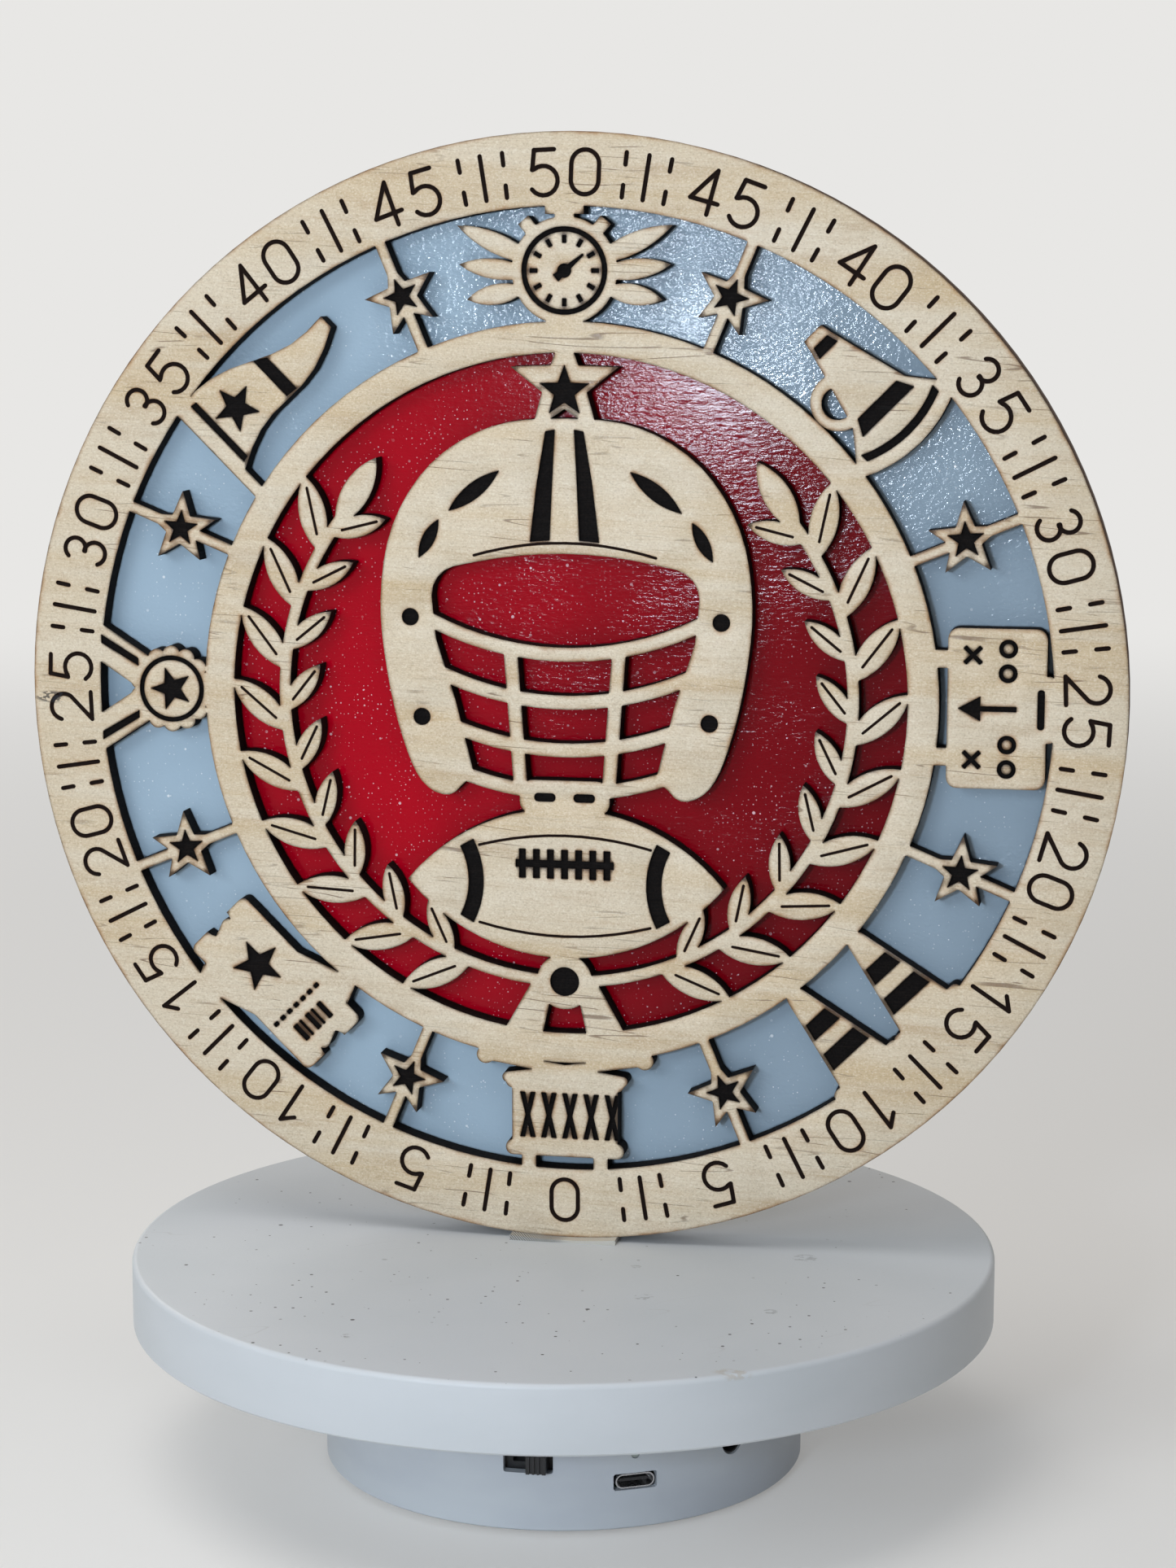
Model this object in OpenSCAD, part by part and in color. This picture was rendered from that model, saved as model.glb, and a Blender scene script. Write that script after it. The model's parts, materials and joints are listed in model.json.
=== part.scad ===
// Round layered football sign that stands on a motorised display turntable.
// Frame: origin on the turntable's axis at the surface it stands on, +Z up.
// The sign faces -Y. An angle "from the front" turns from -Y towards +X.

/* [Sign] */
// Diameter of the sign
sign_d = 254; // [230:1:300]
// Thickness of the fretwork face panel
face_t = 5.2; // [4.5:0.1:8]
// Thickness of the painted panels behind the face
inlay_t = 3; // [2:0.1:6]
// Thickness of the backing board
backing_t = 3; // [2:0.1:6]
// Width of the face panel's outer ring
outer_ring_w = 16.3; // [13:0.1:20]
// Width of the band of pictures between the rings
band_w = 25.5; // [23:0.1:28]
// Width of the face panel's inner ring
inner_ring_w = 7; // [5:0.1:10]
// Depth of the burnt recesses in the face
burn_depth = 0.8; // [0.4:0.1:1.6]
// Gap all round between the two painted panels
inlay_gap = 0.15; // [0.05:0.05:0.5]
// How far the front of the sign lies behind the turntable's axis
sign_front_y = 1; // [-10:0.5:10]

/* [Mounting strip] */
// Length of the clear strip under the sign
strip_l = 25; // [16:1:40]
// Thickness of the strip under the sign's lowest point
strip_t = 0.6; // [0.4:0.1:1.5]
// How far the strip reaches out in front of the sign and behind it
strip_reach = 3; // [1:0.5:6]

/* [Platter] */
// Diameter of the platter
platter_d = 200; // [180:1:230]
// Height of the platter's top above the surface
platter_top_z = 50.3; // [49:0.1:56]
// Height of the platter's skirt
skirt_h = 15.4; // [12:0.1:20]
// Wall of the skirt
skirt_wall = 2.4; // [1.6:0.1:4]
// Thickness of the platter's plate
plate_t = 3; // [2.4:0.1:4]
// Radius of the platter's rounded top edge
platter_edge_r = 1.2; // [0.6:0.1:2]
// Thickness of the platter's radial ribs
rib_t = 1.6; // [1.2:0.1:3]
// Depth of the platter's radial ribs
rib_h = 3; // [1:0.1:5]
// Number of radial ribs
rib_n = 16; // [8:1:24]
// Outer diameter of the platter's hub
hub_d = 14; // [11:0.5:18]

/* [Base] */
// Diameter of the base
base_d = 111.4; // [108:0.1:122]
// Wall of the base
base_wall = 2.4; // [1.8:0.1:3]
// Thickness of the deck that closes the base's top
deck_t = 2.5; // [2:0.1:3.5]
// How far the feet hold the base off the surface
foot_gap = 1.2; // [0.8:0.1:2.5]
// Thickness of the bottom cover
cover_t = 2.4; // [2:0.1:3]
// Radial gap between the bottom cover and the base's wall
cover_gap = 0.2; // [0.1:0.05:0.4]
// Diameter of a foot
foot_d = 10; // [8:0.5:12]
// Depth of the pocket that holds a foot
foot_pocket = 1; // [0.6:0.1:1.4]
// Distance from the base's outer wall to the circle that the feet stand on
foot_inset = 11.7; // [8:0.1:16]
// Diameter of the bosses for the cover screws
boss_d = 8; // [7:0.5:10]
// Distance from the base's outer wall to the circle that the cover screws lie on
boss_inset = 8.7; // [7.6:0.1:10]

/* [Ball ring] */
// Distance from the base's outer wall to the circle that the balls run on
ball_inset = 9.7; // [9:0.1:12]
// Diameter of a ball
ball_d = 4; // [3.6:0.1:4.4]
// Number of balls
ball_n = 24; // [12:1:30]
// Width of a race
race_w = 6.4; // [6:0.1:8]
// Thickness of a race
race_t = 1.6; // [1.4:0.1:2]
// Gap between a ball and its groove
ball_gap = 0.05; // [0.03:0.01:0.1]
// Thickness of the ball cage
cage_t = 1; // [0.8:0.1:1.4]

/* [Spindle] */
// Diameter of the spindle
spindle_d = 6; // [5:0.1:7]
// Running gap round the spindle in its bush
spindle_gap = 0.05; // [0.02:0.01:0.1]
// Length of the bush below the deck
bush_l = 9; // [6:0.5:12]
// Wall of the bush
bush_wall = 2; // [1.5:0.1:3]
// Thickness of the bush's flange
bush_flange_t = 1.2; // [0.8:0.1:1.6]

/* [Gear drive] */
// Gap between the pinion's teeth and the races round the drive
pinion_gap = 0.5; // [0.4:0.1:4]
// Teeth on the platter's gear
gear_teeth = 60; // [56:1:62]
// Teeth on the pinion
pinion_teeth = 16; // [16:1:18]
// Thickness of the platter's gear
gear_t = 3.6; // [3:0.1:4]
// Play between the teeth, along the pitch circle
tooth_play = 0.24; // [0.15:0.01:0.4]
// Diameter of the gearbox
gearbox_d = 26; // [22:0.5:28]
// Height of the gearbox
gearbox_h = 10; // [8:0.5:12]
// Diameter of the motor
motor_d = 20; // [16:0.5:22]
// Length of the motor
motor_l = 13; // [10:0.5:13]
// Diameter of the gearbox's output shaft
shaft_d = 4; // [3:0.1:5]
// Distance between the gearbox's two fixing screws
ear_pitch = 33; // [31:0.5:36]

/* [Ports] */
// Angle of the charging port from the front
port_turn = 27.5; // [20:0.5:35]
// Angle between the charging port and the switch
switch_step = 24.5; // [22:0.5:27]
// Angle between the charging port and the round socket
jack_step = 26; // [24:0.5:28]
// Height of the circuit board's top above the surface
board_z = 10.3; // [9.6:0.1:12]
// Thickness of the circuit board
board_t = 1.6; // [1:0.1:1.8]
// Width of the charging port's cut-out
usb_cut_w = 10; // [9.6:0.1:12]
// Height of the charging port's cut-out
usb_cut_h = 3.8; // [3.6:0.1:5]
// Width of the switch's cut-out
switch_cut_w = 11; // [10:0.1:12]
// Height of the switch's cut-out
switch_cut_h = 5; // [4.6:0.1:6]
// Height of the switch's middle above the circuit board
switch_rise = 6.6; // [6.2:0.1:7.5]
// Width of the switch's knob
knob_w = 4.4; // [3.6:0.1:5]
// Height of the switch's knob
knob_h = 4; // [3.2:0.1:4.4]
// How far the knob stands out of the base's wall
knob_proud = 2.2; // [1:0.1:3]
// Travel of the knob
knob_travel = 4; // [3:0.1:4.4]
// Diameter of the round socket's hole in the wall
jack_hole_d = 6.4; // [6.2:0.1:8]
// Height of the round socket's middle above the circuit board
jack_rise = 6.4; // [6:0.1:7.5]
// Diameter of the indicator's hole
led_hole_d = 2; // [1.6:0.1:3]
// Height of the indicator's middle above the circuit board
led_rise = 7.8; // [6.5:0.1:9]

/* [Battery] */
// Length of the battery
battery_l = 50; // [40:1:54]
// Width of the battery
battery_w = 34; // [28:1:36]
// Thickness of the battery
battery_t = 5; // [4:0.1:6]

/* [Hidden] */

eps = 0.01;
round_fn = 96;
small_fn = 32;

// Sign
sign_r = sign_d / 2;
band_out_r = sign_r - outer_ring_w;
band_in_r = band_out_r - band_w;
window_r = band_in_r - inner_ring_w;
band_mid_r = (band_out_r + band_in_r) / 2;
seam_r = (band_in_r + window_r) / 2;
sign_t = face_t + inlay_t + backing_t;
sign_z = platter_top_z + strip_t + sign_r;
// Pictures are drawn for a band this wide, and the emblem for a window of this radius
drawn_band_w = 25.5;
drawn_window_r = 78.2;
picture_k = band_w / drawn_band_w;
emblem_k = window_r / drawn_window_r;
// Pictures round the band, clockwise from the top, and the star between each two
picture_n = 8;
picture_first = 90;
picture_step = 360 / picture_n;
bar_star_r = 8.6;
bar_star_w = 2.4;
star_core = 0.42;
// Emblem: helmet, ball under it and two laurel branches round them
helmet_y = 19;
chin_y = -42;
seat_y = -43;
ball_l = 74;
ball_w = 35;
stem_r = 66;
stem_w = 2.6;
leaf_l = 18.5;
leaf_w = 6.4;
inner_leaf_k = 0.78;
leaf_first = -70;
leaf_step = 12.5;
leaf_n = 9;
leaf_turn = 42;
knot_y = -66;

// Platter and base
platter_r = platter_d / 2;
base_r = base_d / 2;
base_in_r = base_r - base_wall;
foot_circle_r = base_r - foot_inset;
boss_circle_r = base_r - boss_inset;
ball_circle_r = base_r - ball_inset;
plate_z = platter_top_z - plate_t;
cover_z = foot_gap;
cover_top_z = cover_z + cover_t;
groove_depth = 0.8;
cage_gap = 0.15;
race_stack = 2 * race_t + ball_d + 2 * ball_gap - 2 * groove_depth;
land_h = 1.6;
deck_z = plate_z - land_h - race_stack;
deck_under_z = deck_z - deck_t;
ball_z = deck_z + race_t + ball_gap + ball_d / 2 - groove_depth;

// Spindle, bush and hub
bush_r = spindle_d / 2 + spindle_gap + bush_wall;
bush_bottom_z = deck_under_z - bush_l;
washer_t = 0.8;
washer_play = 0.1;
clip_t = 0.8;
clip_slot_h = 1;
clip_z = bush_bottom_z - washer_play - washer_t - clip_slot_h;
spindle_bottom_z = clip_z - 2;
spindle_top_z = platter_top_z - 1.5;
groove_r = spindle_d / 2 - 0.8;
hub_bottom_z = deck_z + bush_flange_t + 0.3;
race_fit = 0.1;
race_rim_t = 1.2;
land_in_r = ball_circle_r - race_w / 2;
land_out_r = ball_circle_r + race_w / 2 + 0.6;

// Gear drive: the pinion stands behind the axis, on +Y, and its teeth reach almost to the races
pressure_angle = 20;
tooth_module = (land_in_r - pinion_gap) / (gear_teeth / 2 + pinion_teeth + 1);
centre_distance = tooth_module * (gear_teeth + pinion_teeth) / 2;
gear_z = plate_z - gear_t;
pinion_top_z = plate_z - 0.3;
mesh_angle = 90;
gear_screw_n = 4;
gear_screw_circle_r = tooth_module * gear_teeth / 3;
gear_screw_bite = 2;
pinion_hub_wall = 1.6;
shaft_flat = 0.5;
shaft_bottom_z = deck_under_z - 0.6 * gearbox_h;
ear_t = 1.5;
ear_r = 3.2;
ear_screw_bite = 1.9;
motor_z = deck_under_z - gearbox_h - motor_l;
motor_tab_x = 5;
motor_tab_y = 6;
motor_tab_l = 2.2;
motor_tab_z = motor_z - 1.4;

// Self-tapping screws
screw_r = 1.25;
screw_head_r = 2.4;
screw_head_t = 1.4;
screw_fit = 0.1;
cover_screw_l = 10;
cover_screw_set = 0.2;
cover_head_r = 2.8;
board_screw_l = 8;
small_head_t = 1.2;

// Base
boss_angles = [-35, 85, 205];
foot_n = 4;
foot_fit = 0.05;
foot_edge = 0.4;
foot_first = 10;
wall_cut_l = 3;
deck_edge_r = 1.5;
shaft_hole_gap = 2.4;
post_r = 3;

// Circuit board, in a frame turned by port_turn, and what stands on it
board_r = base_in_r - 0.6;
board_chord_y = 22;
board_half_w = 31;
board_post_x = 25;
board_post_y = 26.5;
usb_shell_w = 8.94;
usb_shell_h = 3.26;
usb_shell_l = 7.3;
usb_wall = 0.3;
usb_set_back = 0.4;
usb_back_t = 0.6;
usb_back_y = usb_set_back + usb_shell_l - base_wall;
usb_z = board_z + usb_shell_h / 2;
switch_body_l = 6;
switch_z = board_z + switch_rise;
stem_l = 3;
stem_h = 2;
stem_gap = 0.15;
stem_reach = 3.5;
knob_root = 0.7;
led_r = 1.5;
led_back_y = 1.4;
led_rim_t = 1.2;
led_nose_l = 2.2;
led_leg = 0.5;
led_lead_y = 6;
led_z = board_z + led_rise;
jack_body_w = 9;
jack_body_l = 12;
jack_front_y = 2.4;
jack_bore_end_y = 9;
jack_bore_r = 2.75;
jack_nose_r = 3.1;
jack_pin_r = 1;
jack_pin_l = 8.5;
jack_z = board_z + jack_rise;
lead_socket_x = 8;
lead_socket_y = 26.5;
socket_pole_x = 1.5;
lead_plug_y = 1.4;
socket_hole_z = board_z + 2.4;
lead_d = 1.2;
lead_turn_l = 8;
lead_rise_l = 11.1;
battery_lead_l = 8.5;
battery_y = 6;
battery_edge_r = 1.5;
tray_wall = 1.2;
tray_gap = 0.2;
tray_h = 3;

// ---------------------------------------------------------------- helpers

function arc(c, r, a0, a1, n) = [for (i = [0:n]) let (a = a0 + (a1 - a0) * i / n) c + r * [cos(a), sin(a)]];
function mirrored(pts) = [for (i = [len(pts) - 1:-1:0]) if (pts[i].x > eps) [-pts[i].x, pts[i].y]];
// A closed smooth curve through a few points
function smooth(p, n = 5) = [for (i = [0:len(p) - 1]) let (
        a = p[(i + len(p) - 1) % len(p)], b = p[i], c = p[(i + 1) % len(p)], d = p[(i + 2) % len(p)])
    for (j = [0:n - 1]) let (t = j / n)
        0.5 * (2 * b + (c - a) * t + (2 * a - 5 * b + 4 * c - d) * t * t
            + (3 * b - a - 3 * c + d) * t * t * t)];

function twice_area(p) = let (n = len(p)) [for (i = [0:n - 1]) cross(p[i], p[(i + 1) % n])] * [for (i = p) 1];

// A polygon whose points run anticlockwise, whichever way round they are given
module outline(p) {
    polygon(twice_area(p) < 0 ? [for (i = [len(p) - 1:-1:0]) p[i]] : p);
}

// A flat figure stood up to face -Y, with its front at y
module upright(y, t) {
    translate([0, y + t, sign_z]) rotate([90, 0, 0]) linear_extrude(t) children();
}

module ring(outer, inner) {
    difference() {
        circle(outer, $fn = round_fn);
        circle(inner, $fn = round_fn);
    }
}

// A leaf or ball outline: two arcs that meet in points on the X axis
module lens(length, width, fn = 64) {
    r = (length * length / 4 + width * width / 4) / width;
    intersection() {
        translate([0, r - width / 2]) circle(r, $fn = fn);
        translate([0, width / 2 - r]) circle(r, $fn = fn);
    }
}

module star(r, r_in, turn = 90) {
    outline([for (i = [0:9]) let (a = turn + 36 * i, q = i % 2 == 0 ? r : r_in) q * [cos(a), sin(a)]]);
}

module rounded_rect(w, h, r) {
    outline(concat(arc([w / 2 - r, h / 2 - r], r, 0, 90, 5), arc([r - w / 2, h / 2 - r], r, 90, 180, 5),
        arc([r - w / 2, r - h / 2], r, 180, 270, 5), arc([w / 2 - r, r - h / 2], r, 270, 360, 5)));
}

// A round solid of revolution between two heights
module tube(outer, inner, z0, z1) {
    translate([0, 0, z0]) difference() {
        cylinder(r = outer, h = z1 - z0, $fn = round_fn);
        translate([0, 0, -eps]) cylinder(r = inner, h = z1 - z0 + 2 * eps, $fn = round_fn);
    }
}

// ------------------------------------------- emblem in the centre window
// Drawn for a window of radius drawn_window_r, with its middle at the origin

// Right half of the helmet's outline, from the crown to the chin
shell_right = [[17, 42.5], [31, 34], [40, 20], [43, 3], [41.5, -14], [38, -29], [33.5, -39], [27, -42],
    [20, -37]];
// Right half of the face opening, from below the jaw up to the brow
opening_right = [[19, -50], [21.5, -36], [25.5, -20], [30, -6]];

module helmet_shell() {
    difference() {
        outline(smooth(concat([[0, 44.5]], shell_right, [[0, -33]], mirrored(shell_right)), 4));
        outline(concat(opening_right, arc([24, 4], 7, 0, 75, 4), arc([0, -86], 100, 78, 102, 8),
            arc([-24, 4], 7, 105, 180, 4), mirrored(opening_right)));
    }
}

// One bar of the face guard: an arc that sags in the middle
module guard_bar(y, half_w, bar_w = 3.2, r = 70) {
    intersection() {
        translate([0, y + r]) difference() {
            circle(r + bar_w / 2, $fn = round_fn);
            circle(r - bar_w / 2, $fn = round_fn);
        }
        translate([-half_w, y - bar_w]) square([2 * half_w, 16]);
    }
}

module face_guard() {
    guard_bar(-9, 31);
    guard_bar(-20, 29);
    guard_bar(-31, 26);
    guard_bar(-41, 25);
    for (s = [-1, 1]) outline([[s * 11, -8], [s * 14.2, -8], [s * 11.8, -41], [s * 8.6, -41]]);
    translate([0, chin_y]) rounded_rect(21, 8, 3);
}

module helmet_burns() {
    // Crown stripes, wider towards the brow
    for (s = [-1, 1])
        outline([[s * 3.4, 17], [s * 8, 16.6], [s * 6.4, 30], [s * 4.4, 41.6], [s * 2.2, 42], [s * 2.8, 30]]);
    // Air slots, snaps and the slots in the chin cup
    for (s = [-1, 1]) {
        translate([s * 21, 28]) rotate(-s * 38) lens(15, 3.6);
        translate([s * 31.6, 17]) rotate(-s * 62) lens(10, 3);
        translate([s * 36, -1]) circle(2, $fn = small_fn);
        translate([s * 33.4, -24]) circle(2, $fn = small_fn);
        translate([s * 4.6, chin_y]) rounded_rect(5, 2, 0.9);
    }
}

module ball_burns(l, w) {
    // End stripes follow the ball's ends, and the laces run along its middle
    for (s = [-1, 1]) intersection() {
        lens(l - 5, w - 5);
        translate([s * 40, 0]) difference() {
            circle(21, $fn = small_fn);
            circle(17.4, $fn = small_fn);
        }
    }
    translate([-11.5, 3.6]) square([23, 1.8]);
    for (i = [-3:3]) translate([i * 3.3 - 0.8, 1.1]) square([1.6, 6.8]);
}

module laurel_side() {
    intersection() {
        ring(stem_r + stem_w / 2, stem_r - stem_w / 2);
        outline(concat([[0, 0]], arc([0, 0], 90, -92, 38, 12)));
    }
    for (i = [0:leaf_n - 1]) {
        a = leaf_first + leaf_step * i;
        rotate(a) translate([stem_r, 0]) rotate(90 - leaf_turn) translate([leaf_l / 2 - 1, 0])
            lens(leaf_l, leaf_w);
        rotate(a + 4) translate([stem_r, 0]) rotate(90 + leaf_turn)
            translate([inner_leaf_k * leaf_l / 2 - 1, 0]) lens(inner_leaf_k * leaf_l, inner_leaf_k * leaf_w);
    }
    // The leaf at the branch's end
    rotate(leaf_first + leaf_step * (leaf_n - 0.4)) translate([stem_r, 0]) rotate(84)
        translate([leaf_l / 2 - 2, 0]) lens(leaf_l, leaf_w);
}

module emblem() {
    translate([0, helmet_y]) {
        helmet_shell();
        face_guard();
    }
    translate([0, seat_y]) lens(ball_l, ball_w);
    translate([0, 71]) star(13, 5.4);
    laurel_side();
    mirror([1, 0]) laurel_side();
    // Knot and ribbon ends that tie the two branches
    translate([0, knot_y]) circle(6.5, $fn = small_fn);
    for (s = [-1, 1]) outline([[s * 2, -64], [s * 7, -65], [s * 16, -81], [s * 6, -82]]);
}

module emblem_burns() {
    translate([0, helmet_y]) helmet_burns();
    translate([0, seat_y]) ball_burns(ball_l, ball_w);
    translate([0, 69.5]) star(6, 2.5);
    translate([0, knot_y]) circle(3.4, $fn = small_fn);
}

// ------------------------------------------- pictures in the band
// Each is drawn upright for a band drawn_band_w wide, with its middle at the origin

module stopwatch() {
    translate([0, -1.6]) circle(12, $fn = 64);
    translate([-2.2, 8]) square([4.4, 8]);
    translate([-4.4, 10.9]) square([8.8, 2.8]);
    for (s = [-1, 1]) {
        translate([0, -1.6]) rotate(s * 40) translate([-1.5, 10]) square([3, 4.6]);
        // Wing of three feathers
        for (k = [0:2]) translate([s * 9, 1.5 - 3.6 * k]) rotate(s * (24 - 17 * k)) translate([s * 6.5, 0])
            lens(21 - 3.5 * k, 4.6);
    }
}

module stopwatch_burns() {
    translate([0, -1.6]) {
        difference() {
            circle(9.8, $fn = 48);
            circle(8.6, $fn = 48);
        }
        for (i = [0:11]) rotate(30 * i) translate([-0.5, 6.1]) square([1, 1.8]);
        rotate(-50) outline([[-1, -2.6], [1, -2.6], [0.25, 5.6], [-0.25, 5.6]]);
        circle(1.6, $fn = small_fn);
    }
}

module megaphone() {
    outline(concat([[-19, -2.6], [-19, 2.6], [-16, 3.2], [2, 8], [10, 14.4]], arc([-16, 0], 31, 28, -28, 8),
        [[10, -14.4], [2, -8], [-16, -3.2]]));
    difference() {
        translate([-4, -6.4]) circle(6.4, $fn = small_fn);
        translate([-4, -6.8]) circle(3.6, $fn = small_fn);
    }
}

module megaphone_burns() {
    outline([[-16.4, -2.1], [-16.4, 2.1], [-13.8, 2.8], [-13.8, -2.8]]);
    outline([[1.5, -6], [1.5, 6], [5.2, 7.9], [5.2, -7.9]]);
    intersection() {
        translate([-16, 0]) difference() {
            circle(28, $fn = 64);
            circle(26.2, $fn = 64);
        }
        translate([4, -11]) square([12, 22]);
    }
}

module play_board() {
    rounded_rect(36, 22, 2.4);
    translate([0, 10.5]) rounded_rect(15, 6, 2);
    translate([0, 14]) rounded_rect(7, 7, 2);
    for (s = [-1, 1]) translate([s * 11, -10]) rounded_rect(4, 9, 1);
}

module play_board_burns() {
    for (x = [-13.5, -8, 8, 13.5]) translate([x, 2.4]) difference() {
        circle(2.1, $fn = small_fn);
        circle(1.1, $fn = small_fn);
    }
    for (x = [-12, 11.5], a = [45, -45]) translate([x, -5.4]) rotate(a) square([5.2, 1], center = true);
    outline([[-0.6, 4.4], [0.6, 4.4], [0.6, -3.6], [2.8, -3.6], [0, -8.6], [-2.8, -3.6], [-0.6, -3.6]]);
    translate([0, 9.8]) rounded_rect(9, 1.6, 0.7);
}

module ticket() {
    difference() {
        rounded_rect(40, 18.5, 1.6);
        for (s = [-1, 1]) translate([s * 20, 0]) circle(3.4, $fn = small_fn);
    }
    // The second ticket behind it, turned a little
    rotate(21) difference() {
        rounded_rect(35, 18.5, 1.6);
        for (s = [-1, 1]) translate([s * 17.5, 0]) circle(3.4, $fn = small_fn);
    }
}

module ticket_burns() {
    translate([-6, 0]) star(6.2, 2.6);
    for (i = [-3:3]) translate([7, 2.3 * i]) square([1, 1.3], center = true);
    for (i = [0:4]) translate([10.2, -4.4 + 2 * i]) square([4.6, i % 2 == 0 ? 1.3 : 0.7]);
}

// A pair of training cones
module cones() {
    for (x = [-9.6, 9.6]) translate([x, 0]) {
        outline([[-7.6, -11], [-2.3, 12.4], [2.3, 12.4], [7.6, -11]]);
        translate([0, 12]) circle(2.3, $fn = small_fn);
        translate([0, -12]) rounded_rect(20, 4.6, 1.4);
    }
}

module cones_burns() {
    for (x = [-9.6, 9.6]) translate([x, 0]) {
        outline([[-5.6, -5.8], [-4.7, -1.6], [4.7, -1.6], [5.6, -5.8]]);
        outline([[-3.9, 2], [-3, 6], [3, 6], [3.9, 2]]);
    }
}

module medal() {
    for (s = [-1, 1]) outline([[s * 0.5, -3], [s * 5, -3], [s * 17, 15.6], [s * 8, 15.6], [-s, 2]]);
    translate([0, -4.6]) {
        circle(8.6, $fn = 48);
        for (i = [0:13]) rotate(360 / 14 * i) translate([8, 0]) circle(2.1, $fn = small_fn);
    }
}

module medal_burns() {
    translate([0, -4.6]) {
        difference() {
            circle(7.8, $fn = 48);
            circle(6.7, $fn = 48);
        }
        star(5.2, 2.2);
    }
    for (s = [-1, 1]) outline([[s * 5.2, 3.4], [s * 7, 3.4], [s * 12.4, 12.4], [s * 10.4, 12.4]]);
}

module pennant() {
    translate([-19.4, -15]) square([2.8, 30]);
    translate([-18, 14]) circle(2.6, $fn = small_fn);
    // Cloth that waves once between the pole and the tip
    outline(concat([[-18, 11.8]],
        [for (i = [0:8]) let (t = i / 8) [-17 + 38 * t, 11.8 - 9 * t + 1.7 * sin(360 * t)]],
        [for (i = [8:-1:0]) let (t = i / 8) [-17 + 38 * t, -9 + 8.4 * t + 1.7 * sin(360 * t)]], [[-18, -9]]));
}

module pennant_burns() {
    translate([-8, 2.4]) star(5.6, 2.4);
    outline([[-15.6, 10.2], [-14, 10], [-14, -7.2], [-15.6, -7.5]]);
    outline([[2.4, 7.3], [5.4, 5.2], [5.4, -4.6], [2.4, -4.2]]);
}

module drum() {
    rounded_rect(25, 17, 2);
    for (s = [-1, 1]) {
        translate([0, s * 8]) rounded_rect(28, 3.6, 1.7);
        translate([s * 2, 11.2]) rotate(s * 9) rounded_rect(34, 2.4, 1.1);
        translate([s * 2, 11.2]) rotate(s * 9) translate([s * 17, 0]) circle(2.1, $fn = small_fn);
        translate([s * 8.5, -12]) square([3.4, 7], center = true);
    }
}

module drum_burns() {
    for (i = [-2:2]) for (s = [-1, 1])
        outline([[5 * i - 0.6, s * 5.4], [5 * i + 0.6, s * 5.4], [5 * i + 3.1, -s * 5.4],
            [5 * i + 1.9, -s * 5.4]]);
}

// The pictures stand round the band, clockwise from the top. Each has its foot on the inner ring
// in the upper half of the sign and on the outer ring in the lower half, so that all read upright.
module picture(i) {
    if (i == 0) stopwatch();
    if (i == 1) megaphone();
    if (i == 2) play_board();
    if (i == 3) cones();
    if (i == 4) drum();
    if (i == 5) ticket();
    if (i == 6) medal();
    if (i == 7) pennant();
}

module picture_burns(i) {
    if (i == 0) stopwatch_burns();
    if (i == 1) megaphone_burns();
    if (i == 2) play_board_burns();
    if (i == 3) cones_burns();
    if (i == 4) drum_burns();
    if (i == 5) ticket_burns();
    if (i == 6) medal_burns();
    if (i == 7) pennant_burns();
}

module place_picture(i) {
    a = picture_first - picture_step * i;
    lower = sin(a) < -eps;
    rotate(a) translate([band_mid_r, 0]) rotate(lower ? 90 : -90) scale(picture_k) children();
}

// A star on a bar between each two pictures
module bar_star() {
    star(bar_star_r, bar_star_r * star_core);
    square([bar_star_w, drawn_band_w + 2], center = true);
}

module place_bar_star(i) {
    a = picture_first - picture_step * (i + 0.5);
    rotate(a) translate([band_mid_r, 0]) rotate(sin(a) < 0 ? 90 : -90) scale(picture_k) children();
}

module face_figure() {
    ring(sign_r, band_out_r);
    ring(band_in_r, window_r);
    intersection() {
        ring(band_out_r + 1, band_in_r - 1);
        for (i = [0:picture_n - 1]) {
            place_picture(i) picture(i);
            place_bar_star(i) bar_star();
        }
    }
    intersection() {
        circle(window_r + eps, $fn = round_fn);
        scale(emblem_k) emblem();
    }
}

module face_burns() {
    scale(emblem_k) emblem_burns();
    for (i = [0:picture_n - 1]) {
        place_picture(i) picture_burns(i);
        place_bar_star(i) star(bar_star_r / 2, bar_star_r / 2 * star_core);
    }
}

// ---------------------------------------------------------------- sign

module face_panel() {
    color("burlywood") difference() {
        upright(sign_front_y, face_t) face_figure();
        upright(sign_front_y - 1, burn_depth + 1) face_burns();
    }
}

module picture_ring_panel() {
    color("slategray") upright(sign_front_y + face_t, inlay_t) ring(sign_r, seam_r + inlay_gap / 2);
}

module centre_panel() {
    color("firebrick") upright(sign_front_y + face_t, inlay_t) circle(seam_r - inlay_gap / 2, $fn = round_fn);
}

module backing_board() {
    color("tan") upright(sign_front_y + face_t + inlay_t, backing_t) circle(sign_r, $fn = round_fn);
}

// Clear strip, hollowed on top to the curve of the sign's edge
module mounting_strip() {
    edge_t = strip_t + sign_r - sqrt(sign_r * sign_r - strip_l * strip_l / 4);
    color("gainsboro") difference() {
        translate([-strip_l / 2, sign_front_y - strip_reach, platter_top_z])
            cube([strip_l, sign_t + 2 * strip_reach, edge_t]);
        translate([0, sign_front_y - strip_reach - 1, sign_z]) rotate([-90, 0, 0])
            cylinder(r = sign_r, h = sign_t + 2 * strip_reach + 2, $fn = 4 * round_fn);
    }
}

// ---------------------------------------------------------------- platter

module at_gear_screws() {
    for (i = [0:gear_screw_n - 1]) rotate([0, 0, 360 / gear_screw_n * i])
        translate([gear_screw_circle_r, 0, 0])
        children();
}

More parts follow.
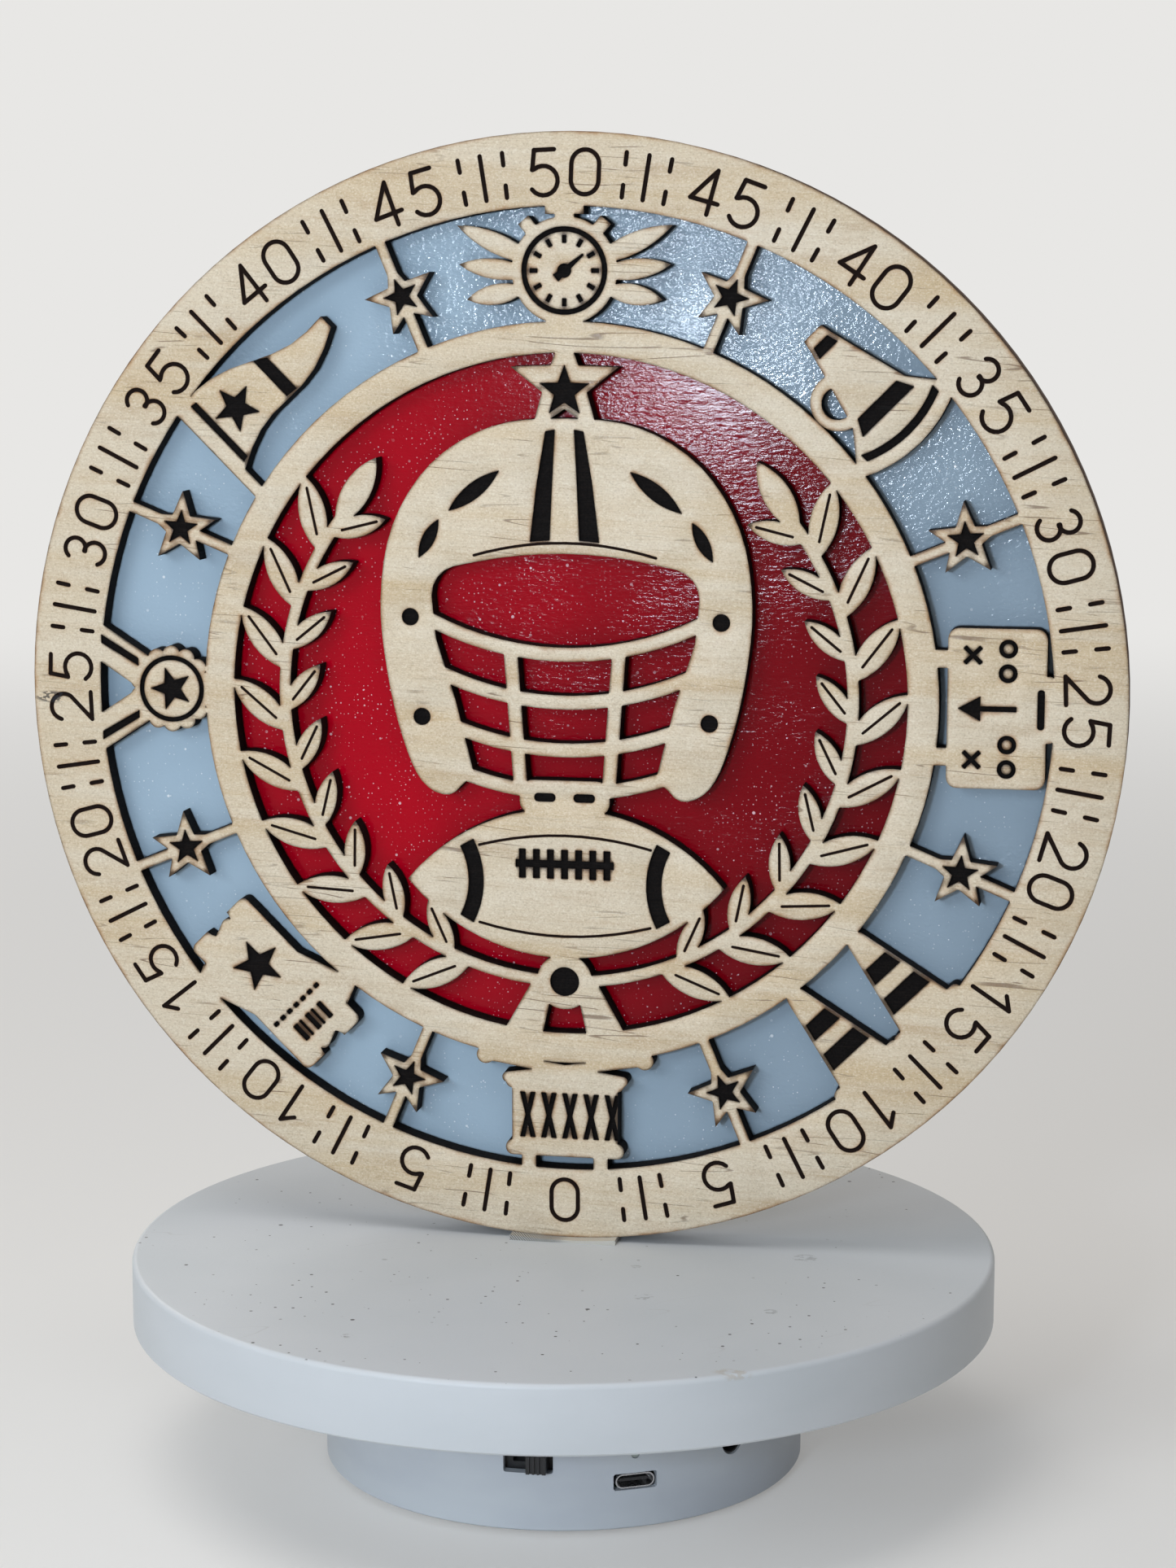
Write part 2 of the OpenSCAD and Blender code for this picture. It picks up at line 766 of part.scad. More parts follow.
module platter() {
    r = platter_r;
    e = platter_edge_r;
    bottom = platter_top_z - skirt_h;
    color("white") difference() {
        union() {
            rotate_extrude($fn = 180) outline(concat([[0, plate_z], [0, platter_top_z]],
                arc([r - e, platter_top_z - e], e, 90, 0, 6), [[r, bottom + 0.5], [r - 0.5, bottom],
                [r - skirt_wall + 0.3, bottom], [r - skirt_wall, bottom + 0.3], [r - skirt_wall, plate_z - 2],
                [r - skirt_wall - 2, plate_z]]));
            // Land that the ball ring carries
            tube(land_out_r, land_in_r, plate_z - land_h, plate_z + eps);
            // Hub and ribs
            tube(hub_d / 2, spindle_d / 2, hub_bottom_z, plate_z + eps);
            for (i = [0:rib_n - 1]) rotate([0, 0, 360 / rib_n * (i + 0.5)])
                translate([land_out_r - 0.2, -rib_t / 2, plate_z - rib_h])
                    cube([r - skirt_wall - land_out_r + 0.7, rib_t, rib_h + eps]);
        }
        translate([0, 0, plate_z - eps])
            cylinder(r = spindle_d / 2, h = spindle_top_z - plate_z + eps, $fn = small_fn);
        at_gear_screws() translate([0, 0, plate_z - eps])
            cylinder(r = screw_r, h = gear_screw_bite, $fn = small_fn);
    }
}

// ---------------------------------------------------------------- gears

function involute(rb, t) = rb * [cos(t) + t * PI / 180 * sin(t), sin(t) - t * PI / 180 * cos(t)];
function turn(p, a) = [p.x * cos(a) - p.y * sin(a), p.x * sin(a) + p.y * cos(a)];

// Outline of a spur gear with a tooth centred on +X
module gear_outline(teeth, play) {
    rp = tooth_module * teeth / 2;
    rb = rp * cos(pressure_angle);
    ra = rp + tooth_module;
    rf = rp - 1.25 * tooth_module;
    t_pitch = sqrt(rp * rp / (rb * rb) - 1) * 180 / PI;
    t_tip = sqrt(ra * ra / (rb * rb) - 1) * 180 / PI;
    pitch_turn = atan2(involute(rb, t_pitch).y, involute(rb, t_pitch).x);
    half_tooth = 90 / teeth - play / 2 / rp * 90 / PI;
    flank = [for (i = [0:3]) turn(involute(rb, t_tip * i / 3), -half_tooth - pitch_turn)];
    root = rf * [cos(half_tooth + pitch_turn), -sin(half_tooth + pitch_turn)];
    side = rf < rb ? concat([root], flank) : flank;
    tooth = concat(side, [for (i = [len(side) - 1:-1:0]) [side[i].x, -side[i].y]]);
    outline([for (k = [0:teeth - 1]) for (p = tooth) turn(p, 360 / teeth * k)]);
}

module drive_gear() {
    color("ivory") translate([0, 0, gear_z]) difference() {
        rotate([0, 0, mesh_angle]) linear_extrude(gear_t) gear_outline(gear_teeth, tooth_play);
        translate([0, 0, -1]) cylinder(r = hub_d / 2 + 0.1, h = gear_t + 2, $fn = small_fn);
        at_gear_screws() translate([0, 0, -1]) {
            cylinder(r = screw_r + screw_fit, h = gear_t + 2, $fn = small_fn);
            cylinder(r = screw_head_r + 2 * screw_fit, h = 1 + screw_head_t, $fn = small_fn);
        }
    }
}

// A self-tapping screw with its head's top at the origin and its point along +Z
module screw(head_r, head_t, r, length) {
    difference() {
        union() {
            cylinder(r = head_r, h = head_t, $fn = small_fn);
            cylinder(r = r, h = length - r, $fn = small_fn);
            translate([0, 0, length - r]) cylinder(r1 = r, r2 = 0.3, h = r, $fn = small_fn);
        }
        // Cross recess
        for (a = [0, 90]) rotate([0, 0, a]) translate([-head_r * 0.6, -0.35, -1])
            cube([head_r * 1.2, 0.7, 1 + head_t / 2]);
    }
}

module gear_screws() {
    color("silver") at_gear_screws() translate([0, 0, gear_z])
        screw(screw_head_r, screw_head_t, screw_r, gear_t + gear_screw_bite - screw_fit);
}

module pinion() {
    teeth_z = pinion_top_z - gear_t;
    color("ivory") translate([0, centre_distance, 0]) difference() {
        union() {
            translate([0, 0, teeth_z]) rotate([0, 0, mesh_angle + 180 + 180 / pinion_teeth])
                linear_extrude(gear_t) gear_outline(pinion_teeth, tooth_play);
            translate([0, 0, deck_z + 0.5])
                cylinder(r = shaft_d / 2 + pinion_hub_wall, h = teeth_z - deck_z, $fn = small_fn);
        }
        translate([0, 0, deck_z]) shaft_profile(shaft_d / 2, pinion_top_z - deck_z + 1);
    }
}

// A D-shaped shaft
module shaft_profile(r, h) {
    difference() {
        cylinder(r = r, h = h, $fn = small_fn);
        translate([-r, r - shaft_flat, -1]) cube([2 * r, 2 * r, h + 2]);
    }
}

module output_shaft() {
    color("silver") translate([0, centre_distance, shaft_bottom_z])
        shaft_profile(shaft_d / 2, pinion_top_z - 0.2 - shaft_bottom_z);
}

// ---------------------------------------------------------------- ball ring

module race(z0, groove_z) {
    difference() {
        tube(ball_circle_r + race_w / 2, ball_circle_r - race_w / 2, z0, z0 + race_t);
        translate([0, 0, groove_z]) rotate_extrude($fn = round_fn) translate([ball_circle_r, 0])
            circle(ball_d / 2 + ball_gap, $fn = small_fn);
    }
}

module lower_race() { color("silver") race(deck_z, ball_z); }

module upper_race() { color("silver") race(plate_z - land_h - race_t, ball_z); }

module at_balls() {
    for (i = [0:ball_n - 1]) rotate([0, 0, 360 / ball_n * i]) translate([ball_circle_r, 0, 0]) children();
}

module bearing_balls() {
    color("gainsboro") translate([0, 0, ball_z]) at_balls() sphere(ball_d / 2, $fn = small_fn);
}

module ball_cage() {
    color("dimgray") difference() {
        tube(ball_circle_r + race_w / 2, ball_circle_r - race_w / 2,
            ball_z - cage_t / 2, ball_z + cage_t / 2);
        translate([0, 0, ball_z - cage_t]) at_balls()
            cylinder(r = ball_d / 2 + cage_gap, h = 2 * cage_t, $fn = small_fn);
    }
}

// ---------------------------------------------------------------- spindle

module spindle() {
    color("silver") difference() {
        translate([0, 0, spindle_bottom_z])
            cylinder(r = spindle_d / 2, h = spindle_top_z - spindle_bottom_z, $fn = small_fn);
        tube(spindle_d, groove_r, clip_z, clip_z + clip_slot_h);
    }
}

module flanged_bush() {
    bore_r = spindle_d / 2 + spindle_gap;
    color("goldenrod") {
        tube(bore_r + bush_wall, bore_r, bush_bottom_z, deck_z + eps);
        tube(bore_r + 2 * bush_wall, bore_r, deck_z, deck_z + bush_flange_t);
    }
}

module thrust_washer() {
    washer_z = clip_z + clip_slot_h + washer_play / 2;
    color("white") tube(spindle_d / 2 + 3, spindle_d / 2 + 0.1, washer_z, washer_z + washer_t);
}

// Snap ring in the spindle's groove, open at one side
module retaining_clip() {
    clip_low_z = clip_z + (clip_slot_h - clip_t) / 2;
    color("silver") translate([0, 0, clip_low_z]) linear_extrude(clip_t) difference() {
        circle(spindle_d / 2 + 2, $fn = small_fn);
        circle(groove_r + 0.05, $fn = small_fn);
        translate([0, -groove_r * 0.8]) square([2 * spindle_d, groove_r * 1.6]);
    }
}

// ---------------------------------------------------------------- base

// Turned so that -Y points at an angle from the front
module from_front(a) { rotate([0, 0, a]) children(); }

module at_bosses() {
    for (a = boss_angles) from_front(a) translate([0, -boss_circle_r, 0]) children();
}

module at_board_posts() {
    from_front(port_turn) for (s = [-1, 1]) translate([s * board_post_x, -board_post_y, 0]) children();
}

// Stands a flat figure inside the base's wall and drives it out through the wall
module through_wall(z) {
    translate([0, -base_in_r + wall_cut_l, z]) rotate([90, 0, 0]) linear_extrude(base_wall + 2 * wall_cut_l)
        children();
}

module base_housing() {
    r = base_r;
    color("white") difference() {
        union() {
            rotate_extrude($fn = 160) outline(concat([[0, deck_under_z], [0, deck_z]],
                arc([r - deck_edge_r, deck_z - deck_edge_r], deck_edge_r, 90, 0, 6),
                [[r, foot_gap + 0.3], [r - 0.3, foot_gap],
                [base_in_r, foot_gap], [base_in_r, deck_under_z]]));
            // Sleeve round the spindle's bush
            tube(bush_r + 2.2, bush_r, bush_bottom_z + 1, deck_under_z + eps);
            // Bosses for the cover's screws and posts for the circuit board
            at_bosses() translate([0, 0, cover_top_z])
                cylinder(r = boss_d / 2, h = deck_under_z - cover_top_z + eps, $fn = small_fn);
            at_bosses() translate([-rib_t / 2, -base_in_r + boss_circle_r - eps, cover_top_z + 2])
                cube([rib_t, base_in_r - boss_circle_r - boss_d / 2 + 1,
                    deck_under_z - cover_top_z - 2 + eps]);
            at_board_posts() translate([0, 0, board_z])
                cylinder(r = post_r, h = deck_under_z - board_z + eps, $fn = small_fn);
            // Rim that keeps the lower race in place
            tube(land_in_r - race_fit, land_in_r - race_fit - race_rim_t,
                deck_z - eps, deck_z + race_t - 0.2);
        }
        translate([0, 0, deck_under_z - 1]) cylinder(r = bush_r, h = deck_t + 2, $fn = small_fn);
        translate([0, centre_distance, deck_under_z - 1])
            cylinder(r = shaft_d / 2 + shaft_hole_gap, h = deck_t + 2, $fn = small_fn);
        at_bosses() translate([0, 0, cover_z]) cylinder(r = screw_r, h = cover_screw_l + 1.2, $fn = small_fn);
        at_board_posts() translate([0, 0, board_z - board_t])
            cylinder(r = screw_r, h = board_screw_l, $fn = small_fn);
        at_ears() translate([0, 0, deck_under_z - 1])
            cylinder(r = screw_r, h = 1 + ear_screw_bite, $fn = small_fn);
        // Cut-outs for the port, the switch, the round socket and the indicator
        from_front(port_turn) {
            through_wall(usb_z) rounded_rect(usb_cut_w, usb_cut_h, 0.6);
            through_wall(led_z) circle(led_hole_d / 2, $fn = small_fn);
        }
        from_front(port_turn - switch_step) through_wall(switch_z)
            rounded_rect(switch_cut_w, switch_cut_h, 0.5);
        from_front(port_turn + jack_step) through_wall(jack_z) circle(jack_hole_d / 2, $fn = small_fn);
    }
}

module bottom_cover() {
    cover_r = base_in_r - cover_gap;
    inner = [battery_l, battery_w] + 2 * tray_gap * [1, 1];
    color("white") difference() {
        union() {
            translate([0, 0, cover_z]) cylinder(r = cover_r, h = cover_t, $fn = round_fn);
            // Frame that holds the battery, with a way out for its leads
            from_front(port_turn) translate([0, battery_y, cover_top_z - eps])
                linear_extrude(tray_h) difference() {
                    square([inner.x + 2 * tray_wall, inner.y + 2 * tray_wall], center = true);
                    square(inner, center = true);
                    translate([0, -battery_w / 2]) square([14, 8], center = true);
                }
        }
        at_bosses() {
            translate([0, 0, cover_z - 1])
                cylinder(r = screw_r + 3 * screw_fit, h = cover_t + 2, $fn = small_fn);
            translate([0, 0, cover_z - 1])
                cylinder(r = cover_head_r + 2 * screw_fit, h = 1 + screw_head_t + cover_screw_set,
                    $fn = small_fn);
        }
        at_feet() translate([0, 0, cover_z - 1])
            cylinder(r = foot_d / 2 + foot_fit, h = 1 + foot_pocket, $fn = small_fn);
    }
}

module at_feet() {
    for (i = [0:foot_n - 1]) from_front(foot_first + 90 * i) translate([0, -foot_circle_r, 0]) children();
}

module rubber_feet() {
    color("dimgray") at_feet() {
        translate([0, 0, foot_edge])
            cylinder(r = foot_d / 2, h = foot_gap + foot_pocket - foot_edge, $fn = small_fn);
        cylinder(r1 = foot_d / 2 - foot_edge, r2 = foot_d / 2, h = foot_edge, $fn = small_fn);
    }
}

module cover_screws() {
    color("silver") at_bosses() translate([0, 0, cover_z + cover_screw_set])
        screw(cover_head_r, screw_head_t, screw_r, cover_screw_l);
}

// ---------------------------------------------------------------- motor

module at_ears() {
    for (s = [-1, 1]) translate([s * ear_pitch / 2, centre_distance, 0]) children();
}

module gearbox() {
    color("gainsboro") difference() {
        union() {
            translate([0, centre_distance, deck_under_z - gearbox_h])
                cylinder(r = gearbox_d / 2, h = gearbox_h, $fn = round_fn);
            at_ears() translate([0, 0, deck_under_z - ear_t]) cylinder(r = ear_r, h = ear_t, $fn = small_fn);
            translate([-ear_pitch / 2, centre_distance - ear_r, deck_under_z - ear_t])
                cube([ear_pitch, 2 * ear_r, ear_t]);
        }
        at_ears() translate([0, 0, deck_under_z - ear_t - 1])
            cylinder(r = screw_r + screw_fit, h = ear_t + 2, $fn = small_fn);
        translate([0, centre_distance, shaft_bottom_z - 0.2])
            cylinder(r = shaft_d / 2 + 0.05, h = gearbox_h, $fn = small_fn);
    }
}

module gear_motor() {
    color("silver") translate([0, centre_distance, motor_z]) {
        difference() {
            cylinder(r = motor_d / 2, h = motor_l, $fn = round_fn);
            // Notches in the can's end
            for (s = [-1, 1]) translate([s * motor_d / 2, 0, -1]) cube([2, 7, 8], center = true);
        }
        translate([0, 0, -1]) cylinder(r = 3, h = 1 + eps, $fn = small_fn);
        // Terminals for the leads
        for (s = [-1, 1]) translate([s * motor_tab_x - 1, -motor_tab_y, -motor_tab_l])
            cube([2, 0.5, motor_tab_l + eps]);
    }
}

module motor_screws() {
    color("silver") at_ears() translate([0, 0, deck_under_z - ear_t - small_head_t])
        screw(2.2, small_head_t, screw_r, small_head_t + ear_t + ear_screw_bite - screw_fit);
}

// ---------------------------------------------------------------- circuit board

module circuit_board() {
    color("darkgreen") from_front(port_turn) translate([0, 0, board_z - board_t]) difference() {
        intersection() {
            cylinder(r = board_r, h = board_t, $fn = round_fn);
            translate([-board_half_w, -board_r - 1, -1])
                cube([2 * board_half_w, board_r + 1 - board_chord_y, board_t + 2]);
        }
        for (s = [-1, 1]) translate([s * board_post_x, -board_post_y, -1])
            cylinder(r = screw_r + 2 * screw_fit, h = board_t + 2, $fn = small_fn);
    }
}

module board_screws() {
    color("silver") at_board_posts() translate([0, 0, board_z - board_t - small_head_t])
        screw(screw_head_r, small_head_t, screw_r, board_screw_l);
}

// Stands children on the board with -Y out through the wall, at an angle from the port
module at_port(step) {
    from_front(port_turn + step) translate([0, -base_in_r, board_z]) children();
}

module stadium(w, h) { rounded_rect(w, h, h / 2 - eps); }

module usb_shell() {
    color("silver") at_port(0) translate([0, usb_back_y, usb_shell_h / 2]) rotate([90, 0, 0]) difference() {
        linear_extrude(usb_shell_l) stadium(usb_shell_w, usb_shell_h);
        translate([0, 0, usb_back_t]) linear_extrude(usb_shell_l)
            stadium(usb_shell_w - 2 * usb_wall, usb_shell_h - 2 * usb_wall);
    }
}

module usb_tongue() {
    color("black") at_port(0) translate([0, usb_back_y - usb_back_t, usb_shell_h / 2]) rotate([90, 0, 0])
        linear_extrude(usb_shell_l - usb_back_t - 1) rounded_rect(6.7, 0.7, 0.3);
}

module switch_body() {
    h = switch_rise + switch_cut_h / 2 + 0.6;
    w = switch_cut_w + 2.4;
    color("dimgray") at_port(-switch_step) difference() {
        translate([-w / 2, 1, 0]) cube([w, switch_body_l, h]);
        // Slot that the knob's stem runs in
        translate([-(knob_travel + stem_l) / 2 - 2 * stem_gap, 0, switch_rise - stem_h / 2 - stem_gap])
            cube([knob_travel + stem_l + 4 * stem_gap, stem_reach + 0.5, stem_h + 2 * stem_gap]);
    }
}

// The knob at the right-hand end of its travel, seen from outside
module switch_knob() {
    color("dimgray") at_port(-switch_step) translate([knob_travel / 2, 0, switch_rise]) {
        difference() {
            translate([-knob_w / 2, -base_wall - knob_proud, -knob_h / 2])
                cube([knob_w, base_wall + knob_proud + knob_root, knob_h]);
            // Grip grooves
            for (i = [-1:1]) translate([i * knob_w / 4 - 0.3, -base_wall - knob_proud - 1, -knob_h / 2 - 1])
                cube([0.6, 1.5, knob_h + 2]);
        }
        translate([-stem_l / 2, 0, -stem_h / 2]) cube([stem_l, stem_reach, stem_h]);
    }
}

module indicator_led() {
    color("white") at_port(0) {
        translate([0, led_back_y, led_rise]) rotate([90, 0, 0]) {
            cylinder(r = led_r, h = led_rim_t, $fn = small_fn);
            translate([0, 0, led_rim_t]) cylinder(r = led_hole_d / 2 - 0.1, h = led_nose_l, $fn = small_fn);
        }
        // Two legs, bent down to the board behind the lamp
        for (s = [-1, 1]) translate([(s * 1.6 - led_leg) / 2, led_back_y - led_leg, 0]) {
            translate([0, led_lead_y, 0]) cube([led_leg, led_leg, led_rise - led_rim_t]);
            translate([0, 0, led_rise - led_rim_t]) cube([led_leg, led_lead_y + led_leg, led_leg]);
        }
    }
}

module jack_body() {
    color("black") at_port(jack_step) difference() {
        union() {
            translate([-jack_body_w / 2, jack_front_y, 0])
                cube([jack_body_w, jack_body_l - jack_front_y, jack_rise + jack_body_w / 2]);
            translate([0, jack_front_y + eps, jack_rise]) rotate([90, 0, 0])
                cylinder(r = jack_nose_r, h = jack_front_y + base_wall - 0.6, $fn = small_fn);
        }
        translate([0, jack_bore_end_y, jack_rise]) rotate([90, 0, 0])
            cylinder(r = jack_bore_r, h = 20, $fn = small_fn);
    }
}

module jack_pin() {
    color("silver") at_port(jack_step) translate([0, jack_bore_end_y, jack_rise]) rotate([90, 0, 0]) {
        cylinder(r = jack_pin_r, h = jack_pin_l, $fn = small_fn);
        translate([0, 0, jack_pin_l])
            cylinder(r1 = jack_pin_r, r2 = jack_pin_r - 0.3, h = 0.3, $fn = small_fn);
    }
}

module lead_sockets() {
    color("white") from_front(port_turn) for (s = [-1, 1])
        translate([s * lead_socket_x, -lead_socket_y, board_z]) difference() {
            translate([-3.5, -3, 0]) cube([7, 6, 5]);
            for (k = [-1, 1]) translate([k * socket_pole_x - 0.8, lead_plug_y - 0.4, 1.6])
                cube([1.6, 3, 1.6]);
        }
}

// ---------------------------------------------------------------- battery and leads

module battery() {
    color("silver") from_front(port_turn) translate([0, battery_y, cover_top_z]) linear_extrude(battery_t)
        rounded_rect(battery_l, battery_w, battery_edge_r);
}

// A round lead swept along a path that never runs straight up
module lead(path, d = lead_d) {
    n = len(path);
    sides = 8;
    function along(i) = let (t = path[min(i + 1, n - 1)] - path[max(i - 1, 0)]) t / norm(t);
    points = [for (i = [0:n - 1])
        let (t = along(i), u = cross(t, [0, 0, 1]) / norm(cross(t, [0, 0, 1])), v = cross(u, t))
        for (k = [0:sides - 1]) path[i] + d / 2 * (cos(360 / sides * k) * u + sin(360 / sides * k) * v)];
    faces = concat([[for (k = [0:sides - 1]) k]], [[for (k = [sides - 1:-1:0]) (n - 1) * sides + k]],
        [for (i = [0:n - 2]) for (k = [0:sides - 1]) let (k2 = (k + 1) % sides)
            [i * sides + k, (i + 1) * sides + k, (i + 1) * sides + k2, i * sides + k2]]);
    polyhedron(points, faces);
}

// A smooth open curve through a few points in space
function flow(p, n = 4) = concat([for (i = [0:len(p) - 2]) let (
        a = p[max(i - 1, 0)], b = p[i], c = p[i + 1], d = p[min(i + 2, len(p) - 1)])
    for (j = [0:n - 1]) let (t = j / n)
        0.5 * (2 * b + (c - a) * t + (2 * a - 5 * b + 4 * c - d) * t * t
            + (3 * b - a - 3 * c + d) * t * t * t)],
    [p[len(p) - 1]]);

// The point on the board's socket where a lead's pole ends
function socket_pole(side, s) =
    [side * lead_socket_x + s * socket_pole_x, lead_plug_y - lead_socket_y, socket_hole_z];

module motor_leads() {
    for (s = [-1, 1]) color(s > 0 ? "red" : "black") {
        tab = turn([s * motor_tab_x, centre_distance - motor_tab_y - lead_d / 2], -port_turn);
        end = socket_pole(1, s);
        from_front(port_turn) lead(flow([[tab.x, tab.y, motor_tab_z],
            [tab.x - 1, tab.y - lead_turn_l, motor_tab_z - 0.1], [end.x + 0.9 * s, 2, motor_tab_z],
            [end.x, end.y + lead_rise_l, socket_hole_z], end]));
    }
}

module battery_leads() {
    start_y = battery_y - battery_w / 2;
    start_z = cover_top_z + 0.6 * battery_t;
    for (s = [-1, 1]) color(s > 0 ? "red" : "black") {
        end = socket_pole(-1, s);
        from_front(port_turn) lead(flow([[s * 2.4 - 2, start_y - 0.2, start_z],
            [s * 2.2 - 3, start_y - 4, start_z + 0.5], [end.x, start_y - battery_lead_l, socket_hole_z - 0.2], end]));
    }
}

face_panel();
picture_ring_panel();
centre_panel();
backing_board();
mounting_strip();
platter();
drive_gear();
gear_screws();
spindle();
upper_race();
lower_race();
ball_cage();
bearing_balls();
flanged_bush();
thrust_washer();
retaining_clip();
base_housing();
bottom_cover();
rubber_feet();
cover_screws();
gearbox();
gear_motor();
motor_screws();
output_shaft();
pinion();
circuit_board();
board_screws();
usb_shell();
usb_tongue();
switch_body();
switch_knob();
indicator_led();
jack_body();
jack_pin();
lead_sockets();
battery();
motor_leads();
battery_leads();
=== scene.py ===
import json
import math

import bmesh
import bpy
from mathutils import Matrix, Vector


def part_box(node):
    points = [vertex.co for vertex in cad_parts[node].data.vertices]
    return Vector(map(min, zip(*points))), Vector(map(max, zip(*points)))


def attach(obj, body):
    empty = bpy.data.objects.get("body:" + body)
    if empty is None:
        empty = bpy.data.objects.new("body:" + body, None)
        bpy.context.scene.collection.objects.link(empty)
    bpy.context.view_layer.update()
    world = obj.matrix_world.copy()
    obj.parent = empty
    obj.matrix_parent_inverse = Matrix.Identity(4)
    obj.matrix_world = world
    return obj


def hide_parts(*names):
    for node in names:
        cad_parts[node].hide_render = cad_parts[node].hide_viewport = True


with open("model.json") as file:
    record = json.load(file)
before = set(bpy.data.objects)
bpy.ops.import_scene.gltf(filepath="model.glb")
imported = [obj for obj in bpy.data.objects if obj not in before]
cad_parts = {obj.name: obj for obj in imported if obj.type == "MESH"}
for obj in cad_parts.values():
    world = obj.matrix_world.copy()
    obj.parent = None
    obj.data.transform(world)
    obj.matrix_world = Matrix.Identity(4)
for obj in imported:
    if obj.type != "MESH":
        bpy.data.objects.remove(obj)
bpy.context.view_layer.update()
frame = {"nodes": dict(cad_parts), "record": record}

# ---------------------------------------------------------------- sizes, in metres

MM = 0.001
NODES = frame["nodes"]
BODY_OF = {node: body for body, nodes in frame["record"]["behaviour"]["bodies"].items() for node in nodes}
SLOT_OF = {part["node"]: part["material_slot"] for part in frame["record"]["subparts"]}

face_low, face_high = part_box("face_panel")
PLATTER_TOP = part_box("platter")[1].z

FACE_Y = face_low.y
SIGN_R = (face_high.x - face_low.x) / 2
SIGN_MID = Vector((0, 0, (face_low.z + face_high.z) / 2))

# Edges between faces that meet at more than this angle stay sharp
SHARP_DEG = 32
FACE_EDGE_EASE = 0.2 * MM
VENEER_T = 1 * MM

# Marks of use: an ink mark at the left of the sign, and a worn patch on the platter's front rim
INK_MARK = (-0.1228, FACE_Y, SIGN_MID.z - 0.0026)
WORN_PATCH = (0.052, -0.084, PLATTER_TOP)

# Yard numbers and hash marks engraved round the outer ring
NUMBERS = (50, 45, 40, 35, 30, 25, 20, 15, 10, 5, 0, 5, 10, 15, 20, 25, 30, 35, 40, 45)
NUMBER_LOW_R = 113.2 * MM
NUMBER_HEIGHT = 9.8 * MM
DIGIT_STEP = 9.4 * MM
HASH_STEP_DEG = 2.4
HASH_L = 2.6 * MM
STROKE_W = 1.1 * MM
FINE_W = 0.7 * MM
# Share of its radius by which a round-nosed cutter's middle stands before the face
STROKE_LIFT = 0.2
CUT_PASSES = 3
ARC_PARTS = 16

# Laurel branches, ball and helmet on the face, about the sign's middle
STEM_R = 66 * MM
LEAF_FIRST, LEAF_STEP, LEAF_N, LEAF_TURN = -70, 12.5, 9, 42
LEAF_L = 18.5 * MM
INNER_LEAF_K = 0.78
INNER_LEAF_AHEAD_DEG = 4
VEIN_FROM, VEIN_TO = 0.2, 0.78
BALL_Y = -43 * MM
BROW_Y = 35.4 * MM

# View from the front, a little to the right and above
LENS_MM = 74.2
SENSOR_MM = 36
VIEW_FROM = (0.1412, -0.7163, 0.2729)
VIEW_AHEAD = (-0.186, 0.983, 0)
VIEW_PITCH_DEG = -8.92
VIEW_ROLL = 0.0006

# Plain light: a level all round, and lamps given by name, place, aim, size, watts and colour
OBJECT_MIDDLE = (0, 0, 0.15)
ROOM_LEVEL = 0.24
LAMP_SPREAD_DEG = 110
LAMPS = (
    ("key", (-0.7, -1.2, 0.72), OBJECT_MIDDLE, (0.8, 0.5), 2.1, (0.88, 0.955, 1.0)),
    ("overhead", (-0.3, -0.35, 1.6), OBJECT_MIDDLE, (1.0, 1.0), 3.8, (1.0, 0.97, 0.945)),
    ("rear", (-1.05, 1.05, 0.95), OBJECT_MIDDLE, (0.9, 0.6), 1.8, (1.0, 0.98, 0.95)),
    ("window", (-0.085, -0.74, 0.265), (0.02, 0, 0.24), (0.085, 0.075), 0.8, (0.76, 0.87, 1.0)),
)

# The backdrop's share of the floor grows from its least to the whole between two distances from the object
FLOOR_R = 14
FADE_FROM, FADE_TO = 0.25, 1.9
FADE_LEAST = 0.3


# ---------------------------------------------------------------- node materials

